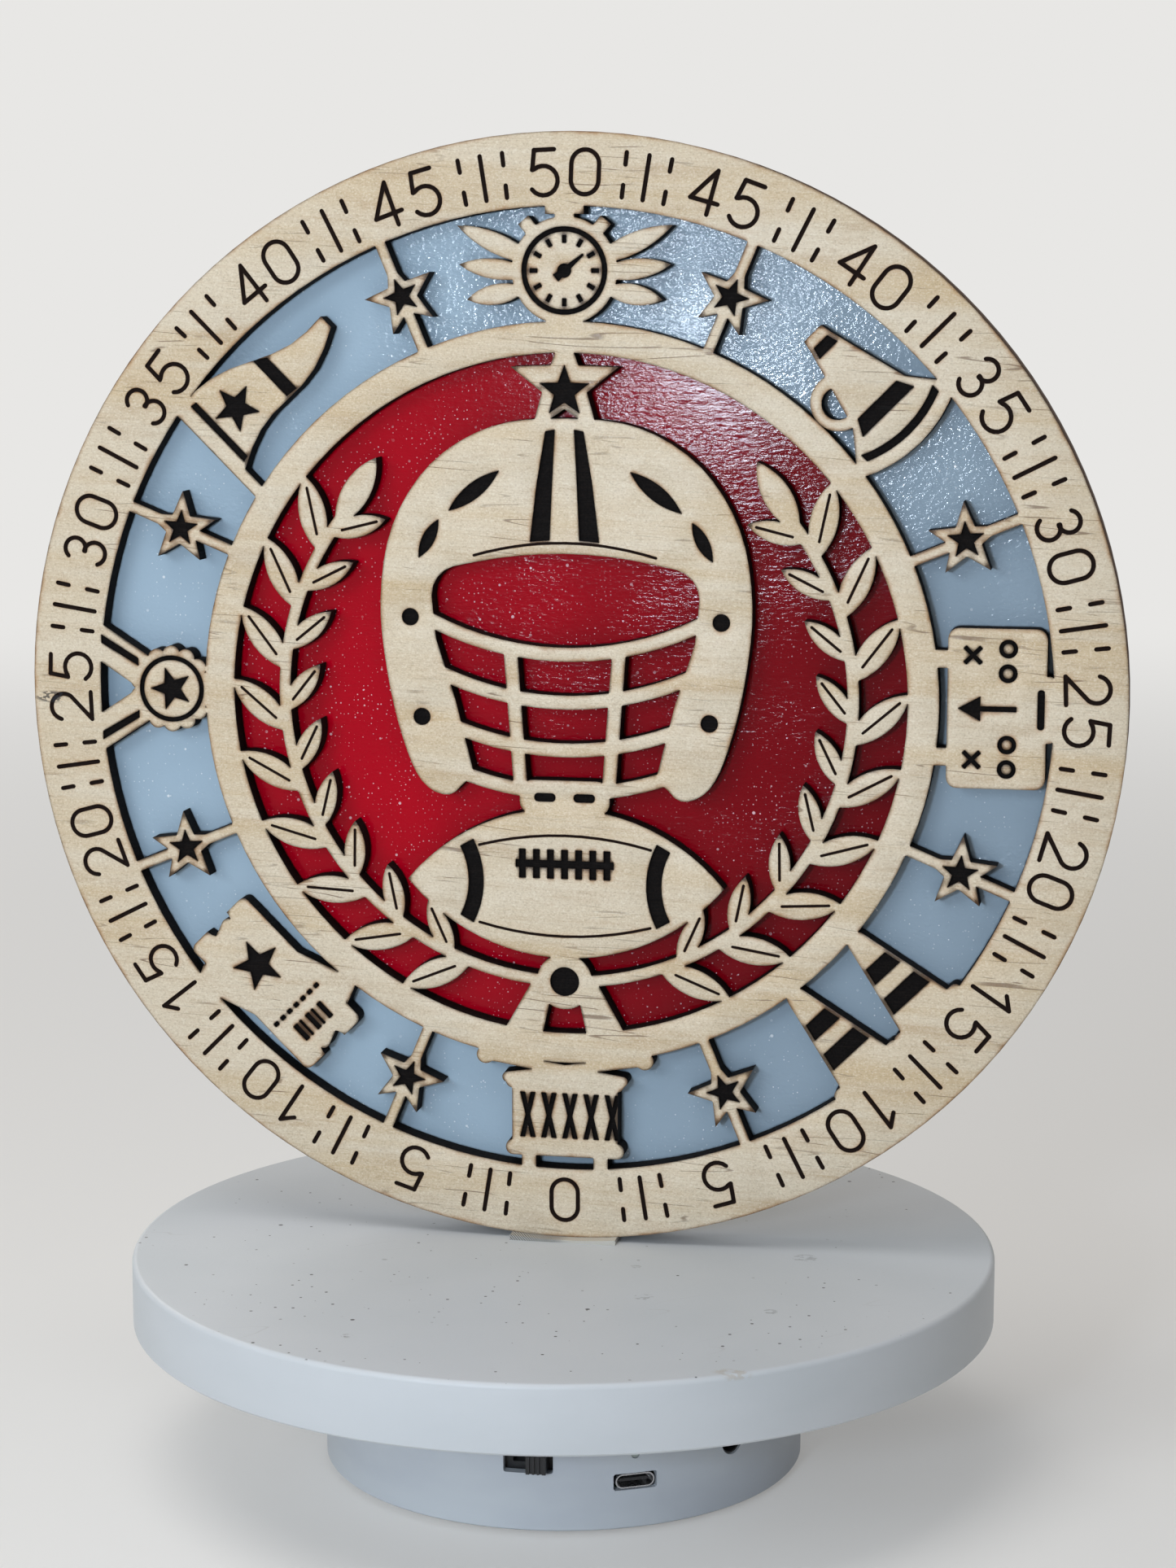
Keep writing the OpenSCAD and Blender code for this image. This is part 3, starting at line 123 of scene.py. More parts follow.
class Finish:
    """A node material for a Principled shader, with short ways to add the nodes that feed it"""

    def __init__(self, name, **sockets):
        self.material = bpy.data.materials.new(name)
        self.material.use_nodes = True
        self.tree = self.material.node_tree
        self.shader = self.tree.nodes["Principled BSDF"]
        self.place = self.node("ShaderNodeTexCoord").outputs["Object"]
        for socket, value in sockets.items():
            self.set(socket.replace("_", " ").title().replace("Ior", "IOR"), value)

    def node(self, kind, inputs=None, **settings):
        made = self.tree.nodes.new(kind)
        for key, value in settings.items():
            setattr(made, key, value)
        for key, value in (inputs or {}).items():
            self.feed(made.inputs[key], value)
        return made

    def feed(self, socket, value):
        if isinstance(value, bpy.types.NodeSocket):
            self.tree.links.new(value, socket)
        else:
            socket.default_value = value

    def set(self, socket, value):
        self.feed(self.shader.inputs[socket], value)

    def calc(self, operation, a, b=0.0):
        return self.node("ShaderNodeMath", {0: a, 1: b}, operation=operation).outputs[0]

    def times(self, a, b):
        return self.calc("MULTIPLY", a, b)

    def plus(self, a, b):
        return self.calc("ADD", a, b)

    def most(self, a, b):
        return self.calc("MAXIMUM", a, b)

    def step(self, value, low, high, to_low=0.0, to_high=1.0):
        """A smooth step of value between low and high"""
        return self.node("ShaderNodeMapRange", {"Value": value, "From Min": low, "From Max": high,
                                                "To Min": to_low, "To Max": to_high},
                         interpolation_type="SMOOTHSTEP").outputs["Result"]

    def blend(self, share, a, b):
        """Colour a where share is 0 and colour b where it is 1"""
        mix = self.node("ShaderNodeMix", {0: share}, data_type="RGBA")
        self.feed(mix.inputs[6], a)
        self.feed(mix.inputs[7], b)
        return mix.outputs[2]

    def stretched(self, sizes, turn=(0, 0, 0)):
        """Turned object coordinates, measured in sizes along each axis"""
        turned = self.node("ShaderNodeMapping", {"Vector": self.place, "Rotation": turn},
                           vector_type="TEXTURE").outputs[0]
        return self.node("ShaderNodeVectorMath", {0: turned, 1: [1 / s for s in sizes]},
                         operation="MULTIPLY").outputs[0]

    def noise(self, sizes, detail=2.0, rough=0.5, bend=0.0, turn=(0, 0, 0)):
        return self.node("ShaderNodeTexNoise", {"Vector": self.stretched(sizes, turn), "Scale": 1.0,
                                                "Detail": detail, "Roughness": rough, "Distortion": bend}
                         ).outputs["Fac"]

    def axis(self, name):
        return self.node("ShaderNodeSeparateXYZ", {0: self.place}).outputs[name]

    def radius(self, middle, axes):
        """Distance from an axis through middle: axes names the two directions across it"""
        flat = self.node("ShaderNodeVectorMath", {0: self.place, 1: middle}, operation="SUBTRACT").outputs[0]
        flat = self.node("ShaderNodeVectorMath", {0: flat, 1: axes}, operation="MULTIPLY").outputs[0]
        return self.node("ShaderNodeVectorMath", {0: flat}, operation="LENGTH").outputs["Value"]

    def nearby(self, distance, inside):
        """1 on open ground, and less where another face lies within distance"""
        return self.node("ShaderNodeAmbientOcclusion", {"Distance": distance}, inside=inside,
                         only_local=inside, samples=8).outputs["AO"]

    def flecks(self, size, radius, share, turn=(0, 0, 0), seed=0.0):
        """Round spots up to a given radius, one each in a share of the flat cells of a given size"""
        flat = self.stretched((size,) * 3, turn)
        shifted = self.node("ShaderNodeVectorMath", {0: flat, 1: (seed,) * 3}, operation="ADD").outputs[0]
        cells = self.node("ShaderNodeTexVoronoi", {"Vector": shifted, "Scale": 1.0, "Randomness": 1.0},
                          voronoi_dimensions="2D")
        tint = self.node("ShaderNodeSeparateColor", {0: cells.outputs["Color"]})
        picked = self.step(tint.outputs[0], 1 - share, 1 - share + 0.01)
        reach = self.times(tint.outputs[1], radius / size)
        spot = self.step(self.calc("SUBTRACT", cells.outputs["Distance"], reach), 0.0, -0.15 * radius / size)
        return self.times(picked, spot)

    def contour(self, sizes, width, turn=(0, 0, 0)):
        """Thin lines where a stretched noise passes its middle value"""
        off = self.calc("ABSOLUTE", self.calc("SUBTRACT", self.noise(sizes, detail=1, turn=turn), 0.5))
        return self.step(off, width, 0.25 * width)

    def relief(self, height, depth, strength=1.0):
        """Feeds a height from 0 to 1, worth depth in metres, to the shader's normal"""
        bump = self.node("ShaderNodeBump", {"Height": height, "Distance": depth, "Strength": strength})
        self.set("Normal", bump.outputs[0])


def tone(red, green, blue):
    """A colour given in the 0 to 255 steps of a screen, as the shader's linear values"""
    def linear(c):
        c = c / 255
        return c / 12.92 if c <= 0.04045 else ((c + 0.055) / 1.055) ** 2.4
    return (linear(red), linear(green), linear(blue), 1.0)


def ply_grain(f, pale, tan, brown, crack):
    """Colour of a pale softwood veneer with its grain along X, and a height for its fibres"""
    slope = (0, math.radians(2.6), 0)
    fibre = f.noise((13 * MM, 4 * MM, 0.3 * MM), detail=4, rough=0.62, turn=slope)
    speck = f.noise((1.3 * MM, 0.5 * MM, 0.27 * MM), detail=3, rough=0.6, turn=slope)
    band = f.noise((150 * MM, 30 * MM, 11 * MM), detail=4, rough=0.6, bend=0.4, turn=slope)
    cloud = f.noise((34 * MM, 24 * MM, 5 * MM), detail=4, rough=0.65, turn=slope)
    colour = f.blend(f.step(band, 0.4, 0.7), pale, tan)
    colour = f.blend(f.step(cloud, 0.5, 0.76, 0.0, 0.5), colour, brown)
    colour = f.blend(f.step(fibre, 0.46, 0.74, 0.0, 0.32), colour, brown)
    # Pale specks stand partly for the wood's pale flecks and partly for painted glints of the lacquer; dark
    # specks are its pores
    pale_fleck_and_glint, pore = tone(240, 232, 216), tone(150, 130, 104)
    colour = f.blend(f.step(speck, 0.5, 0.74, 0.0, 0.3), colour, pale_fleck_and_glint)
    colour = f.blend(f.step(speck, 0.46, 0.26, 0.0, 0.24), colour, pore)
    # Finer grit: its pale specks are partly painted glints of the lacquer, its dark specks are pores
    grit = f.noise((0.4 * MM, 0.4 * MM, 0.33 * MM), detail=1)
    colour = f.blend(f.step(grit, 0.55, 0.75, 0.0, 0.32), colour, tone(244, 238, 224))
    colour = f.blend(f.step(grit, 0.45, 0.25, 0.0, 0.26), colour, tone(146, 124, 98))
    # Hair cracks: thin lines along the contours of a long flat noise, in patches
    fine = f.contour((46 * MM, 20 * MM, 2.6 * MM), 0.017, slope)
    patch = f.noise((26 * MM, 30 * MM, 14 * MM), detail=2)
    broken = f.noise((9 * MM, 6 * MM, 0.9 * MM), detail=1, turn=slope)
    fine = f.times(fine, f.times(f.step(patch, 0.53, 0.6), f.step(broken, 0.44, 0.56)))
    long = f.contour((90 * MM, 20 * MM, 5.2 * MM), 0.008, slope)
    rare = f.noise((40 * MM, 30 * MM, 30 * MM), detail=1)
    long = f.times(long, f.times(f.step(rare, 0.52, 0.58), f.step(broken, 0.4, 0.5)))
    split = f.most(f.times(fine, 0.6), long)
    colour = f.blend(f.times(split, 0.66), colour, crack)
    height = f.calc("SUBTRACT", f.plus(f.times(fibre, 0.35), f.times(grit, 0.65)), f.times(split, 0.8))
    return colour, height


def burnt_walls(f, colour, depth):
    """Soot on what the laser cut: black far in, brown in shallow lines.
    Depth is the way in from the front. Gives the colour, and 1 where it is charred."""
    streak = f.noise((0.5 * MM, 6 * MM, 0.5 * MM), detail=2)
    raster = f.noise((5 * MM, 5 * MM, 0.22 * MM), detail=1)
    brown = f.blend(streak, tone(34, 20, 14), tone(20, 12, 10))
    ash = f.step(f.plus(f.times(raster, 0.5), f.times(streak, 0.5)), 0.42, 0.7)
    black = f.blend(ash, tone(7, 5, 5), tone(19, 14, 12))
    soot = f.blend(f.step(depth, 0.34 * MM, 0.6 * MM), brown, black)
    charred = f.step(depth, 0.015 * MM, 0.07 * MM)
    return f.blend(charred, colour, soot), charred


def face_finish():
    """Lacquered pale ply with scorched edges, burnt recesses and burnt walls"""
    f = Finish("face_ply", specular_ior_level=0.12)
    colour, height = ply_grain(f, pale=tone(217, 203, 180), tan=tone(206, 184, 150),
                               brown=tone(180, 150, 113), crack=tone(104, 78, 60))
    near = f.nearby(1.3 * MM, inside=True)
    patch = f.noise((4 * MM, 4 * MM, 4 * MM), detail=3, rough=0.65)
    smoke = f.noise((17 * MM, 17 * MM, 15 * MM), detail=3, rough=0.6)
    reach = f.calc("SUBTRACT", f.plus(near, f.times(patch, 0.5)), 0.25)
    amber = f.times(f.step(reach, 0.98, 0.6), f.step(smoke, 0.4, 0.6, 0.15, 1.0))
    colour = f.blend(f.times(amber, 0.75), colour, tone(170, 120, 70))
    edge = f.step(f.plus(near, f.times(patch, 0.2)), 0.84, 0.66)
    colour = f.blend(f.times(edge, 0.9), colour, tone(50, 34, 24))
    depth = f.calc("SUBTRACT", f.axis("Y"), FACE_Y)
    colour, charred = burnt_walls(f, colour, depth)
    rim = f.step(f.radius(SIGN_MID, (1, 0, 1)), SIGN_R - 0.12 * MM, SIGN_R - 0.05 * MM)
    colour = f.blend(f.times(rim, charred), colour, edge_colour(f))
    mark = f.radius(INK_MARK, (0.55, 0, 1.6))
    ragged = f.noise((1.6 * MM, 1.6 * MM, 0.9 * MM), detail=2)
    blot = f.times(f.step(mark, 2.6 * MM, 1.6 * MM), f.step(ragged, 0.47, 0.53))
    colour = f.blend(f.times(blot, 0.8), colour, tone(52, 52, 56))
    f.set("Base Color", colour)
    f.set("Roughness", f.plus(f.step(height, 0.2, 0.8, 0.2, 0.4), f.times(charred, 0.5)))
    f.relief(height, 0.1 * MM, 0.8)
    return f.material


def back_finish():
    """Bare ply, its edge darkened by the laser and its veneers showing there"""
    f = Finish("back_ply", roughness=0.68)
    colour, height = ply_grain(f, pale=tone(208, 186, 148), tan=tone(190, 162, 120),
                               brown=tone(168, 134, 92), crack=tone(112, 82, 54))
    rim = f.radius(SIGN_MID, (1, 0, 1))
    colour = f.blend(f.step(rim, SIGN_R - 3 * MM, SIGN_R - 0.2 * MM, 0.0, 0.55), colour, tone(120, 84, 52))
    colour = f.blend(f.step(rim, SIGN_R - 0.12 * MM, SIGN_R - 0.05 * MM), colour, edge_colour(f))
    f.set("Base Color", colour)
    f.relief(height, 0.06 * MM)
    return f.material


def edge_colour(f):
    """A laser-cut ply edge: dark brown, with one veneer lighter than the next"""
    streak = f.noise((0.6 * MM, 9 * MM, 0.6 * MM), detail=2)
    layer = f.calc("PINGPONG", f.axis("Y"), VENEER_T)
    ply = f.step(layer, 0.42 * MM, 0.58 * MM)
    return f.blend(f.plus(f.times(ply, 0.45), f.times(streak, 0.5)), tone(30, 21, 16), tone(94, 66, 44))


def gloss_paint(name, colour, shade_at_right, foot_shade_and_soot, dust, dusty, ridge, gloss):
    """Gloss paint on ply, with painted shade that darkens it towards the right, and painted shade with some
    soot that darkens it at the base of the face panel's walls.
    Dusty is how much dust has dried in it, ridge how much grain shows through, gloss its mirror strength."""
    f = Finish(name, specular_ior_level=gloss)
    # Painted shade: the colour darkens towards the right, where less light falls
    cloud = f.noise((40 * MM, 30 * MM, 40 * MM), detail=2)
    across = f.plus(f.times(f.axis("X"), 1 / (140 * MM)), f.times(cloud, 0.5))
    paint = f.blend(f.step(across, -0.15, 0.65), colour, shade_at_right)
    # Painted shade, with a painted reflection of the charred walls and some soot, darkens the paint at the
    # base of the face panel's walls
    near = f.nearby(0.9 * MM, inside=False)
    ragged = f.noise((1.3 * MM, 1.3 * MM, 1.3 * MM), detail=3)
    paint = f.blend(f.step(f.plus(near, f.times(ragged, 0.3)), 0.86, 0.6, 0.0, 0.85), paint, foot_shade_and_soot)
    upright = (math.pi / 2, 0, 0)
    fleck = f.most(f.flecks(1.1 * MM, 0.18 * MM, 0.6 * dusty, upright),
                   f.flecks(4 * MM, 0.4 * MM, 0.4 * dusty, upright, 3.0))
    cluster = f.step(f.noise((12 * MM, 12 * MM, 9 * MM), detail=4, rough=0.65), 0.42, 0.62, 0.1, 1.0)
    grit = f.times(fleck, cluster)
    paint = f.blend(f.times(grit, 0.75), paint, dust)
    rim = f.radius(SIGN_MID, (1, 0, 1))
    charred = f.step(rim, SIGN_R - 0.1 * MM, SIGN_R - 0.04 * MM)
    f.set("Base Color", f.blend(charred, paint, edge_colour(f)))
    f.set("Roughness", f.step(charred, 0.0, 1.0, 0.09, 0.8))
    grain = f.noise((3.2 * MM, 3 * MM, 0.95 * MM), detail=3, rough=0.6, bend=0.3)
    strokes = f.noise((22 * MM, 20 * MM, 2 * MM), detail=2)
    peel = f.noise((1.2 * MM, 1.2 * MM, 0.9 * MM), detail=2)
    patch = f.step(f.noise((38 * MM, 30 * MM, 26 * MM), detail=1), 0.35, 0.65, 0.4, 1.0)
    swell = f.plus(f.times(grain, ridge), f.times(peel, 2 - 1.7 * ridge))
    height = f.times(f.plus(swell, f.times(strokes, 0.4)), patch)
    f.relief(f.plus(height, f.times(grit, 0.3)), 0.13 * MM)
    return f.material


def moulded(name, colour, shade, roughness=0.5):
    """Moulded plastic with a fine matt grain and slight unevenness"""
    f = Finish(name, roughness=roughness)
    cloud = f.noise((35 * MM, 35 * MM, 12 * MM), detail=3)
    f.set("Base Color", f.blend(f.step(cloud, 0.35, 0.7), colour, shade))
    grain = f.noise((0.22 * MM,) * 3, detail=2)
    f.set("Roughness", f.step(grain, 0.3, 0.7, roughness - 0.06, roughness + 0.06))
    f.relief(grain, 0.02 * MM, 0.6)
    return f.material


def platter_finish():
    """Matt white plastic, with scuffs, pits and dust on its top"""
    f = Finish("platter_white", roughness=0.48)
    cloud = f.noise((60 * MM, 60 * MM, 20 * MM), detail=3)
    colour = f.blend(f.step(cloud, 0.35, 0.7), tone(198, 202, 206), tone(192, 197, 201))
    top = f.step(f.axis("Z"), PLATTER_TOP - 0.3 * MM, PLATTER_TOP - 0.1 * MM)
    crowd = f.step(f.noise((34 * MM, 30 * MM, 30 * MM), detail=1), 0.42, 0.56)
    pits = f.times(f.flecks(4 * MM, 0.42 * MM, 0.3), crowd)
    pits = f.most(pits, f.flecks(16 * MM, 0.6 * MM, 0.3, seed=9.0))
    rubbed = f.step(f.noise((1.6 * MM, 0.9 * MM, 1 * MM)), 0.5, 0.56)
    smear = f.times(f.flecks(30 * MM, 3.4 * MM, 0.35, seed=5.0), rubbed)
    marks = f.times(top, f.most(pits, f.times(smear, 0.35)))
    colour = f.blend(f.times(marks, 0.92), colour, tone(46, 46, 50))
    worn = f.radius(WORN_PATCH, (0.5, 1, 0))
    ragged = f.noise((1.8 * MM, 1 * MM, 1 * MM), detail=3)
    upper = f.step(f.axis("Z"), PLATTER_TOP - 1.6 * MM, PLATTER_TOP - 0.8 * MM)
    worn = f.times(f.times(f.step(worn, 2.6 * MM, 1.2 * MM), upper), f.step(ragged, 0.42, 0.56))
    colour = f.blend(f.times(worn, 0.5), colour, tone(172, 162, 148))
    scratch = f.contour((60 * MM, 14 * MM, 20 * MM), 0.004, turn=(0, 0, 0.6))
    rare = f.step(f.noise((22 * MM, 22 * MM, 22 * MM), detail=1), 0.6, 0.68)
    scratch = f.times(f.times(scratch, rare), top)
    colour = f.blend(f.times(scratch, 0.25), colour, tone(160, 158, 158))
    f.set("Base Color", colour)
    grain = f.noise((0.3 * MM, 0.3 * MM, 0.3 * MM), detail=2)
    f.set("Roughness", f.step(grain, 0.3, 0.7, 0.42, 0.52))
    f.relief(f.calc("SUBTRACT", grain, f.plus(marks, scratch)), 0.02 * MM, 0.5)
    return f.material


def metal(name, colour, roughness, brushed):
    """Bare metal, turned or rolled: brushed gives the size of its marks along each axis"""
    f = Finish(name, metallic=1.0, roughness=roughness)
    marks = f.noise(brushed, detail=3, rough=0.6)
    f.set("Base Color", f.blend(marks, colour, tuple(0.72 * c for c in colour[:3]) + (1.0,)))
    f.set("Roughness", f.step(marks, 0.3, 0.7, roughness - 0.08, roughness + 0.1))
    f.relief(marks, 0.01 * MM, 0.4)
    return f.material


def rubber_finish():
    f = Finish("foot_rubber", roughness=0.85)
    grain = f.noise((0.4 * MM, 0.4 * MM, 0.4 * MM), detail=3)
    f.set("Base Color", f.blend(grain, tone(24, 24, 25), tone(46, 46, 47)))
    f.relief(grain, 0.04 * MM)
    return f.material


def board_finish():
    """Solder resist over copper tracks"""
    f = Finish("board_green", roughness=0.3)
    tracks = f.node("ShaderNodeTexBrick", {"Vector": f.stretched((4 * MM, 4 * MM, 4 * MM)), "Scale": 1.0,
                                           "Mortar Size": 0.06, "Mortar": tone(40, 128, 74),
                                           "Color1": tone(14, 92, 48), "Color2": tone(10, 74, 38)})
    f.set("Base Color", tracks.outputs["Color"])
    f.relief(tracks.outputs["Fac"], 0.03 * MM, 0.5)
    return f.material


def cell_finish():
    """Foil pouch with creases"""
    f = Finish("cell_foil", metallic=0.7, roughness=0.35)
    crease = f.noise((9 * MM, 5 * MM, 9 * MM), detail=4, rough=0.7, bend=0.6)
    f.set("Base Color", f.blend(crease, tone(176, 180, 186), tone(132, 136, 142)))
    f.relief(crease, 0.2 * MM, 0.6)
    return f.material


def lead_finish():
    """Soft red insulation"""
    f = Finish("lead_cover", roughness=0.45)
    grain = f.noise((1 * MM, 1 * MM, 1 * MM), detail=2)
    f.set("Base Color", f.blend(grain, tone(172, 30, 26), tone(140, 20, 20)))
    f.relief(grain, 0.03 * MM, 0.5)
    return f.material


def lamp_finish():
    """Milky lens of the indicator"""
    f = Finish("lamp_lens", roughness=0.2, transmission_weight=0.35)
    haze = f.noise((1 * MM, 1 * MM, 1 * MM), detail=2)
    f.set("Base Color", f.blend(haze, tone(232, 238, 232), tone(206, 216, 208)))
    return f.material


def strip_finish():
    """Milky adhesive strip: a dark slanted hatch in its left half, paler in its right half"""
    f = Finish("clear_strip", roughness=0.12, specular_ior_level=0.3, transmission_weight=0.3)
    slant = f.plus(f.axis("X"), f.plus(f.times(f.axis("Z"), 0.9), f.times(f.axis("Y"), 0.5)))
    uneven = f.times(f.noise((2.5 * MM, 2.5 * MM, 2.5 * MM), detail=2), 0.5 * MM)
    marks = f.step(f.calc("PINGPONG", f.plus(slant, uneven), 0.3 * MM), 0.12 * MM, 0.2 * MM)
    left = f.step(f.axis("X"), 2 * MM, -3 * MM)
    colour = f.blend(left, tone(222, 218, 208), tone(196, 195, 190))
    colour = f.blend(f.times(marks, f.plus(f.times(left, 0.75), 0.06)), colour, tone(84, 80, 74))
    f.set("Base Color", colour)
    f.relief(marks, 0.02 * MM, 0.5)
    return f.material


# ---------------------------------------------------------------- meshes

def new_piece(name, mesh):
    piece = bpy.data.objects.new(name, mesh)
    bpy.context.scene.collection.objects.link(piece)
    return piece


def merged_copy(node, name):
    """A copy of a fixed node with its loose triangles joined, smooth except at its real edges"""
    bm = bmesh.new()
    bm.from_mesh(NODES[node].data)
    bmesh.ops.remove_doubles(bm, verts=bm.verts, dist=1e-6)
    bmesh.ops.dissolve_degenerate(bm, edges=bm.edges, dist=1e-7)
    mesh = bpy.data.meshes.new(name)
    bm.to_mesh(mesh)
    bm.free()
    smooth(mesh)
    return new_piece(name, mesh)


def smooth(mesh):
    """Smooth shading from the shape alone, with no normals kept from the copied mesh"""
    if "custom_normal" in mesh.attributes:
        mesh.attributes.remove(mesh.attributes["custom_normal"])
    mesh.shade_smooth()
    mesh.set_sharp_from_angle(angle=math.radians(SHARP_DEG))


def stand_for(piece, node, material):
    """Puts a piece in place of the fixed node that it copies"""
    piece.data.materials.clear()
    piece.data.materials.append(material)
    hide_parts(node)
    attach(piece, BODY_OF[node])


def arc(x, y, r, start_deg, end_deg):
    """Points along an arc about x, y"""
    turns = [math.radians(start_deg + (end_deg - start_deg) * i / ARC_PARTS) for i in range(ARC_PARTS + 1)]
    return [(x + r * math.cos(a), y + r * math.sin(a)) for a in turns]


# Digits as strokes in a box 0.64 wide and 1 high.
# The strokes of one digit meet, so each is cut in a pass of its own
DIGIT_STROKES = {
    0: [arc(0.32, 0.68, 0.32, 0, 180) + arc(0.32, 0.32, 0.32, 180, 360) + [(0.64, 0.68)]],
    1: [[(0.1, 0.76), (0.36, 1.0)], [(0.36, 1.0), (0.36, 0.0)]],
    2: [arc(0.31, 0.69, 0.31, 165, -38) + [(0.0, 0.0)], [(0.0, 0.0), (0.64, 0.0)]],
    3: [arc(0.3, 0.75, 0.25, 150, -90), arc(0.3, 0.265, 0.265, 90, -150)],
    4: [[(0.64, 0.28), (0.0, 0.28)], [(0.0, 0.28), (0.46, 1.0)], [(0.46, 1.0), (0.46, 0.0)]],
    5: [[(0.58, 1.0), (0.12, 1.0)], [(0.12, 1.0), (0.06, 0.56)],
        [(0.06, 0.56)] + arc(0.31, 0.31, 0.33, 128, -145)],
}
DIGIT_W = 0.64


def on_ring(radius, angle_deg, along, out):
    """A point on the face, near the ring's radius and angle: along runs clockwise, out runs outwards"""
    a = math.radians(angle_deg)
    outward, clockwise = Vector((math.cos(a), math.sin(a))), Vector((math.sin(a), -math.cos(a)))
    return outward * (radius + out) + clockwise * along


def number_strokes(number, angle_deg):
    """The strokes of a number that stands on the ring, tops outwards, each after the pass that cuts it"""
    strokes = []
    digits = [int(d) for d in str(number)]
    for place, digit in enumerate(digits):
        along = (place - (len(digits) - 1) / 2) * DIGIT_STEP
        turned = angle_deg - math.degrees(along / (NUMBER_LOW_R + NUMBER_HEIGHT / 2))
        for cut_pass, stroke in enumerate(DIGIT_STROKES[digit]):
            strokes.append((cut_pass, [on_ring(NUMBER_LOW_R, turned, (x - DIGIT_W / 2) * NUMBER_HEIGHT,
                                               y * NUMBER_HEIGHT) for x, y in stroke]))
    return strokes


def hash_strokes(angle_deg, whole):
    """Field marks across the ring: a whole line, or a short one at each side"""
    low, high = NUMBER_LOW_R, NUMBER_LOW_R + NUMBER_HEIGHT
    ends = [(low, high)] if whole else [(low, low + HASH_L), (high - HASH_L, high)]
    return [(0, [on_ring(a, angle_deg, 0, 0), on_ring(b, angle_deg, 0, 0)]) for a, b in ends]


def ring_strokes():
    strokes = []
    step = 360 / len(NUMBERS)
    for i, number in enumerate(NUMBERS):
        angle = 90 - step * i
        strokes += number_strokes(number, angle)
        for k in (-1, 0, 1):
            strokes += hash_strokes(angle - step / 2 - HASH_STEP_DEG * k, whole=k == 0)
    return strokes


def vein(stem_deg, lean_deg, length):
    """A line along the middle of a leaf that leaves the stem at an angle"""
    a, b = math.radians(stem_deg), math.radians(stem_deg + lean_deg)
    root = Vector((math.cos(a), math.sin(a))) * STEM_R
    way = Vector((math.cos(b), math.sin(b)))
    return [root + way * length * VEIN_FROM, root + way * length * VEIN_TO]


def ball_seam(side):
    """A line along the ball over its middle, or under it where side is -1, that bends in at its ends"""
    drop = 1.2 if side < 0 else 0
    return [(x * MM, BALL_Y + (side * (11.2 - (x / 7.3) ** 2 * 0.36) - drop) * MM) for x in range(-20, 21, 4)]


def emblem_strokes():
    """Veins of the laurel leaves, seams of the ball and the helmet's brow line"""
    strokes = []
    for i in range(LEAF_N):
        a = LEAF_FIRST + LEAF_STEP * i
        strokes.append(vein(a, 90 - LEAF_TURN, LEAF_L))
        strokes.append(vein(a + INNER_LEAF_AHEAD_DEG, 90 + LEAF_TURN, LEAF_L * INNER_LEAF_K))
    strokes += [[Vector((-p.x, p.y)) for p in s] for s in strokes]
    strokes += [ball_seam(-1), ball_seam(1)]
    strokes.append([(x * MM, BROW_Y - (x / 12) ** 2 * MM) for x in range(-21, 22, 3)])
    return strokes


def with_round_ends(stroke, reach):
    """The stroke's points, each with the share of the full thickness that it has there"""
    points = [Vector(p) for p in stroke]
    head, tail = (points[0] - points[1]).normalized(), (points[-1] - points[-2]).normalized()
    turns = [math.radians(a) for a in (75, 50, 25)]
    start = [(points[0] + head * reach * math.sin(a), math.cos(a)) for a in turns]
    end = [(points[-1] + tail * reach * math.sin(a), math.cos(a)) for a in reversed(turns)]
    return start + [(p, 1.0) for p in points] + end


def groove_cutter(name, strokes, width):
    """Round-nosed cutters along flat strokes, sunk so far that each groove is a width across at the face"""
    curve = bpy.data.curves.new(name, "CURVE")
    curve.dimensions = "3D"
    curve.bevel_depth = width / 2 / math.sqrt(1 - STROKE_LIFT ** 2)
    curve.bevel_resolution = 2
    curve.use_fill_caps = True
    y = FACE_Y - STROKE_LIFT * curve.bevel_depth
    for stroke in strokes:
        spline = curve.splines.new("POLY")
        closed = (Vector(stroke[0]) - Vector(stroke[-1])).length < 0.01 * MM
        spline.use_cyclic_u = closed
        rounded = [(Vector(p), 1.0) for p in stroke[1:]]
        if not closed:
            rounded = with_round_ends(stroke, curve.bevel_depth)
        spline.points.add(len(rounded) - 1)
        for point, (place, share) in zip(spline.points, rounded):
            point.co = (place.x, y, place.y + SIGN_MID.z, 1)
            point.radius = share
    helper = bpy.data.objects.new(name, curve)
    bpy.context.scene.collection.objects.link(helper)
    mesh = bpy.data.meshes.new_from_object(helper.evaluated_get(bpy.context.evaluated_depsgraph_get()))
    bpy.data.objects.remove(helper)
    bm = bmesh.new()
    bm.from_mesh(mesh)
    bmesh.ops.remove_doubles(bm, verts=bm.verts, dist=1e-6)
    bmesh.ops.recalc_face_normals(bm, faces=bm.faces)
    bm.to_mesh(mesh)
    bm.free()
    return new_piece(name, mesh)


def carve(piece, cutter):
    """Takes the cutter out of the piece"""
    cut = piece.modifiers.new("cut", "BOOLEAN")
    cut.operation = "DIFFERENCE"
    cut.solver = "MANIFOLD"
    cut.object = cutter
    mesh = bpy.data.meshes.new_from_object(piece.evaluated_get(bpy.context.evaluated_depsgraph_get()))
    piece.modifiers.clear()
    piece.data = mesh
    bpy.data.objects.remove(cutter)


# ---------------------------------------------------------------- pieces

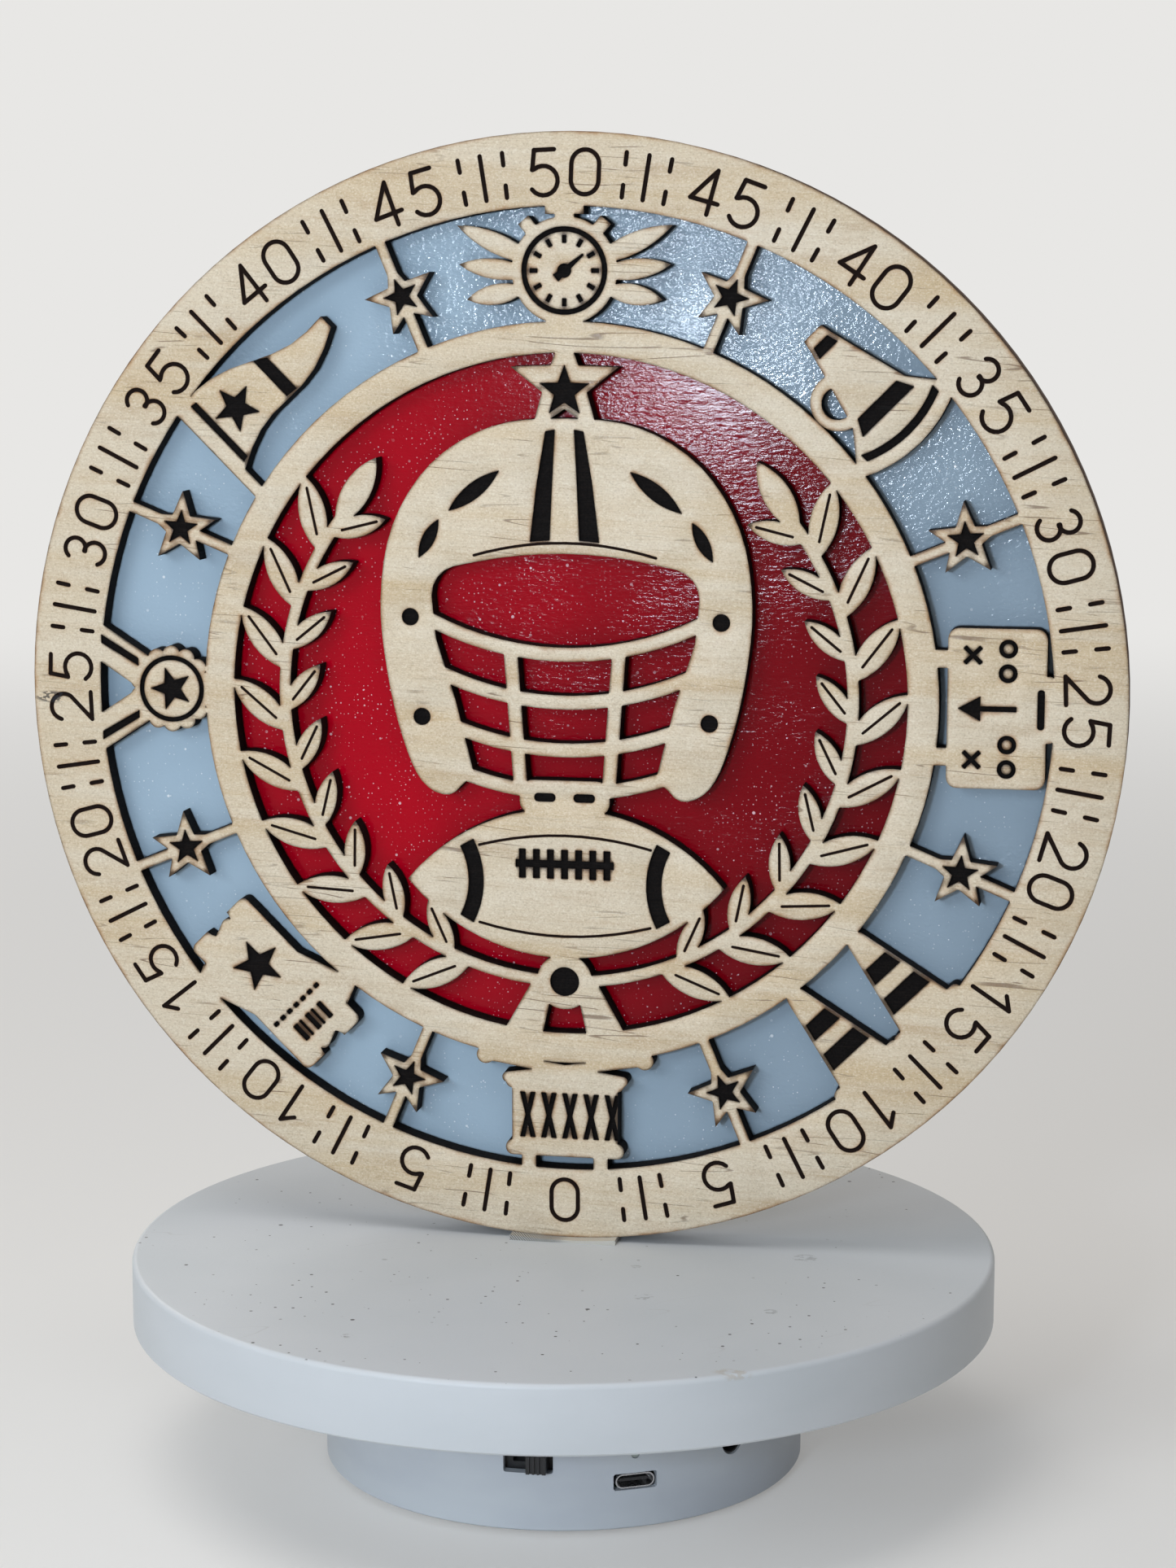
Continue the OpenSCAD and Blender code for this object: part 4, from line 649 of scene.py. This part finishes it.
def eased_front(piece):
    """Takes the sharpness off the front edges of the face, as sanding and lacquer do"""
    bm = bmesh.new()
    bm.from_mesh(piece.data)
    bmesh.ops.dissolve_limit(bm, angle_limit=math.radians(0.2), verts=bm.verts, edges=bm.edges)
    front = {face for face in bm.faces
             if face.normal.y < -0.999 and abs(face.calc_center_median().y - FACE_Y) < 0.05 * MM}
    edges = [e for e in bm.edges if len(e.link_faces) == 2 and len(front.intersection(e.link_faces)) == 1]
    bmesh.ops.bevel(bm, geom=edges, offset=FACE_EDGE_EASE, segments=2, affect="EDGES", profile=0.5,
                    material=-1, clamp_overlap=True)
    bmesh.ops.triangulate(bm, faces=bm.faces)
    bm.to_mesh(piece.data)
    bm.free()
    return piece


def engraved_face():
    """The fretwork panel with its numbers, field marks, veins, seams and brow line cut in"""
    piece = eased_front(merged_copy("face_panel", "fretwork_face"))
    strokes = ring_strokes()
    for cut_pass in range(CUT_PASSES):
        cut_now = [stroke for stroke_pass, stroke in strokes if stroke_pass == cut_pass]
        carve(piece, groove_cutter("ring_cutter", cut_now, STROKE_W))
    carve(piece, groove_cutter("emblem_cutter", emblem_strokes(), FINE_W))
    smooth(piece.data)
    stand_for(piece, "face_panel", face_finish())


def dress_nodes():
    """Shows every node but the face by a smooth copy with the finish of its slot"""
    finishes = {
        "back_ply": back_finish(),
        # The darker colour at the right and the dark colour at the base of the walls are painted shade, with
        # some soot at the walls
        "grey_paint": gloss_paint("grey_gloss", colour=tone(165, 187, 204), shade_at_right=tone(146, 164, 179),
                                  foot_shade_and_soot=tone(52, 62, 74), dust=tone(240, 244, 248),
                                  dusty=0.5, ridge=0.4, gloss=0.18),
        "red_paint": gloss_paint("red_gloss", colour=tone(178, 0, 27), shade_at_right=tone(121, 0, 15),
                                 foot_shade_and_soot=tone(34, 4, 12), dust=tone(244, 205, 214),
                                 dusty=1.0, ridge=0.9, gloss=0.13),
        "clear_gel": strip_finish(),
        "white_plastic": moulded("shell_white", tone(200, 205, 210), tone(193, 198, 205)),
        "gear_plastic": moulded("acetal", tone(236, 231, 214), tone(226, 220, 200), 0.35),
        "steel": metal("bright_steel", tone(196, 197, 200), 0.28, (0.3 * MM, 0.3 * MM, 4 * MM)),
        "brass": metal("brass", tone(206, 168, 92), 0.25, (3 * MM, 3 * MM, 0.3 * MM)),
        "rubber": rubber_finish(),
        "board_green": board_finish(),
        "black_plastic": moulded("black_plastic", tone(26, 26, 28), tone(34, 34, 36), 0.42),
        "lamp": lamp_finish(),
        "cell_wrap": cell_finish(),
        "lead_cover": lead_finish(),
    }
    for node in NODES:
        if node == "face_panel":
            continue
        finish = platter_finish() if node == "platter" else finishes[SLOT_OF[node]]
        stand_for(merged_copy(node, node + "_shell"), node, finish)


# ---------------------------------------------------------------- floor, light and camera

BACKDROP = tone(232, 231, 229)


def backdrop_rays(tree):
    """1 for the rays that see the backdrop: those of the camera, of gloss and of clear plastic"""
    rays = tree.nodes.new("ShaderNodeLightPath").outputs
    total = rays["Is Camera Ray"]
    for name in ("Is Glossy Ray", "Is Transmission Ray"):
        add = tree.nodes.new("ShaderNodeMath")
        add.operation = "ADD"
        add.use_clamp = True
        tree.links.new(total, add.inputs[0])
        tree.links.new(rays[name], add.inputs[1])
        total = add.outputs[0]
    return total


def stage_floor():
    """A pale floor that keeps the object's shadow and fades into the backdrop far away"""
    bm = bmesh.new()
    bmesh.ops.create_circle(bm, cap_ends=True, segments=64, radius=FLOOR_R)
    mesh = bpy.data.meshes.new("floor")
    bm.to_mesh(mesh)
    bm.free()
    floor = new_piece("floor", mesh)
    f = Finish("pale_floor", roughness=0.9, specular_ior_level=0.1)
    f.set("Base Color", tone(236, 235, 233))
    glow = f.node("ShaderNodeEmission", {"Color": BACKDROP, "Strength": 1.0})
    away = f.step(f.radius((0, 0, 0), (1, 1, 0)), FADE_FROM, FADE_TO, FADE_LEAST, 1.0)
    share = f.times(away, backdrop_rays(f.tree))
    mix = f.node("ShaderNodeMixShader", {0: share, 1: f.shader.outputs[0], 2: glow.outputs[0]})
    f.tree.links.new(mix.outputs[0], f.tree.nodes["Material Output"].inputs["Surface"])
    floor.data.materials.append(f.material)


def plain_world(strength):
    """A plain level of light all round, which the camera and the gloss see as a pale backdrop"""
    world = bpy.data.worlds.new("pale_room")
    bpy.context.scene.world = world
    world.use_nodes = True
    tree = world.node_tree
    lit = tree.nodes["Background"]
    lit.inputs["Color"].default_value = tone(250, 249, 248)
    lit.inputs["Strength"].default_value = strength
    seen = tree.nodes.new("ShaderNodeBackground")
    seen.inputs["Color"].default_value = BACKDROP
    mix = tree.nodes.new("ShaderNodeMixShader")
    tree.links.new(backdrop_rays(tree), mix.inputs[0])
    tree.links.new(lit.outputs[0], mix.inputs[1])
    tree.links.new(seen.outputs[0], mix.inputs[2])
    tree.links.new(mix.outputs[0], tree.nodes["World Output"].inputs["Surface"])


def soft_lamp(name, place, aim, size, watts, colour):
    lamp = bpy.data.lights.new(name, "AREA")
    lamp.spread = math.radians(LAMP_SPREAD_DEG)
    lamp.shape = "RECTANGLE"
    lamp.size, lamp.size_y = size
    lamp.energy = watts
    lamp.color = colour
    item = bpy.data.objects.new(name, lamp)
    bpy.context.scene.collection.objects.link(item)
    item.location = place
    item.rotation_euler = (Vector(aim) - Vector(place)).to_track_quat("-Z", "Y").to_euler()


def camera():
    data = bpy.data.cameras.new("camera")
    data.lens = LENS_MM
    data.sensor_width = SENSOR_MM
    item = bpy.data.objects.new("camera", data)
    bpy.context.scene.collection.objects.link(item)
    item.location = VIEW_FROM
    pitch = math.radians(VIEW_PITCH_DEG)
    ahead = Vector(VIEW_AHEAD).normalized() * math.cos(pitch) + Vector((0, 0, math.sin(pitch)))
    roll = Matrix.Rotation(VIEW_ROLL, 3, "Z").to_quaternion()
    item.rotation_euler = (ahead.to_track_quat("-Z", "Y") @ roll).to_euler()
    bpy.context.scene.camera = item


def lights():
    plain_world(ROOM_LEVEL)
    for lamp in LAMPS:
        soft_lamp(*lamp)


bpy.context.scene.view_settings.view_transform = "Standard"
camera()
stage_floor()
lights()
engraved_face()
dress_nodes()
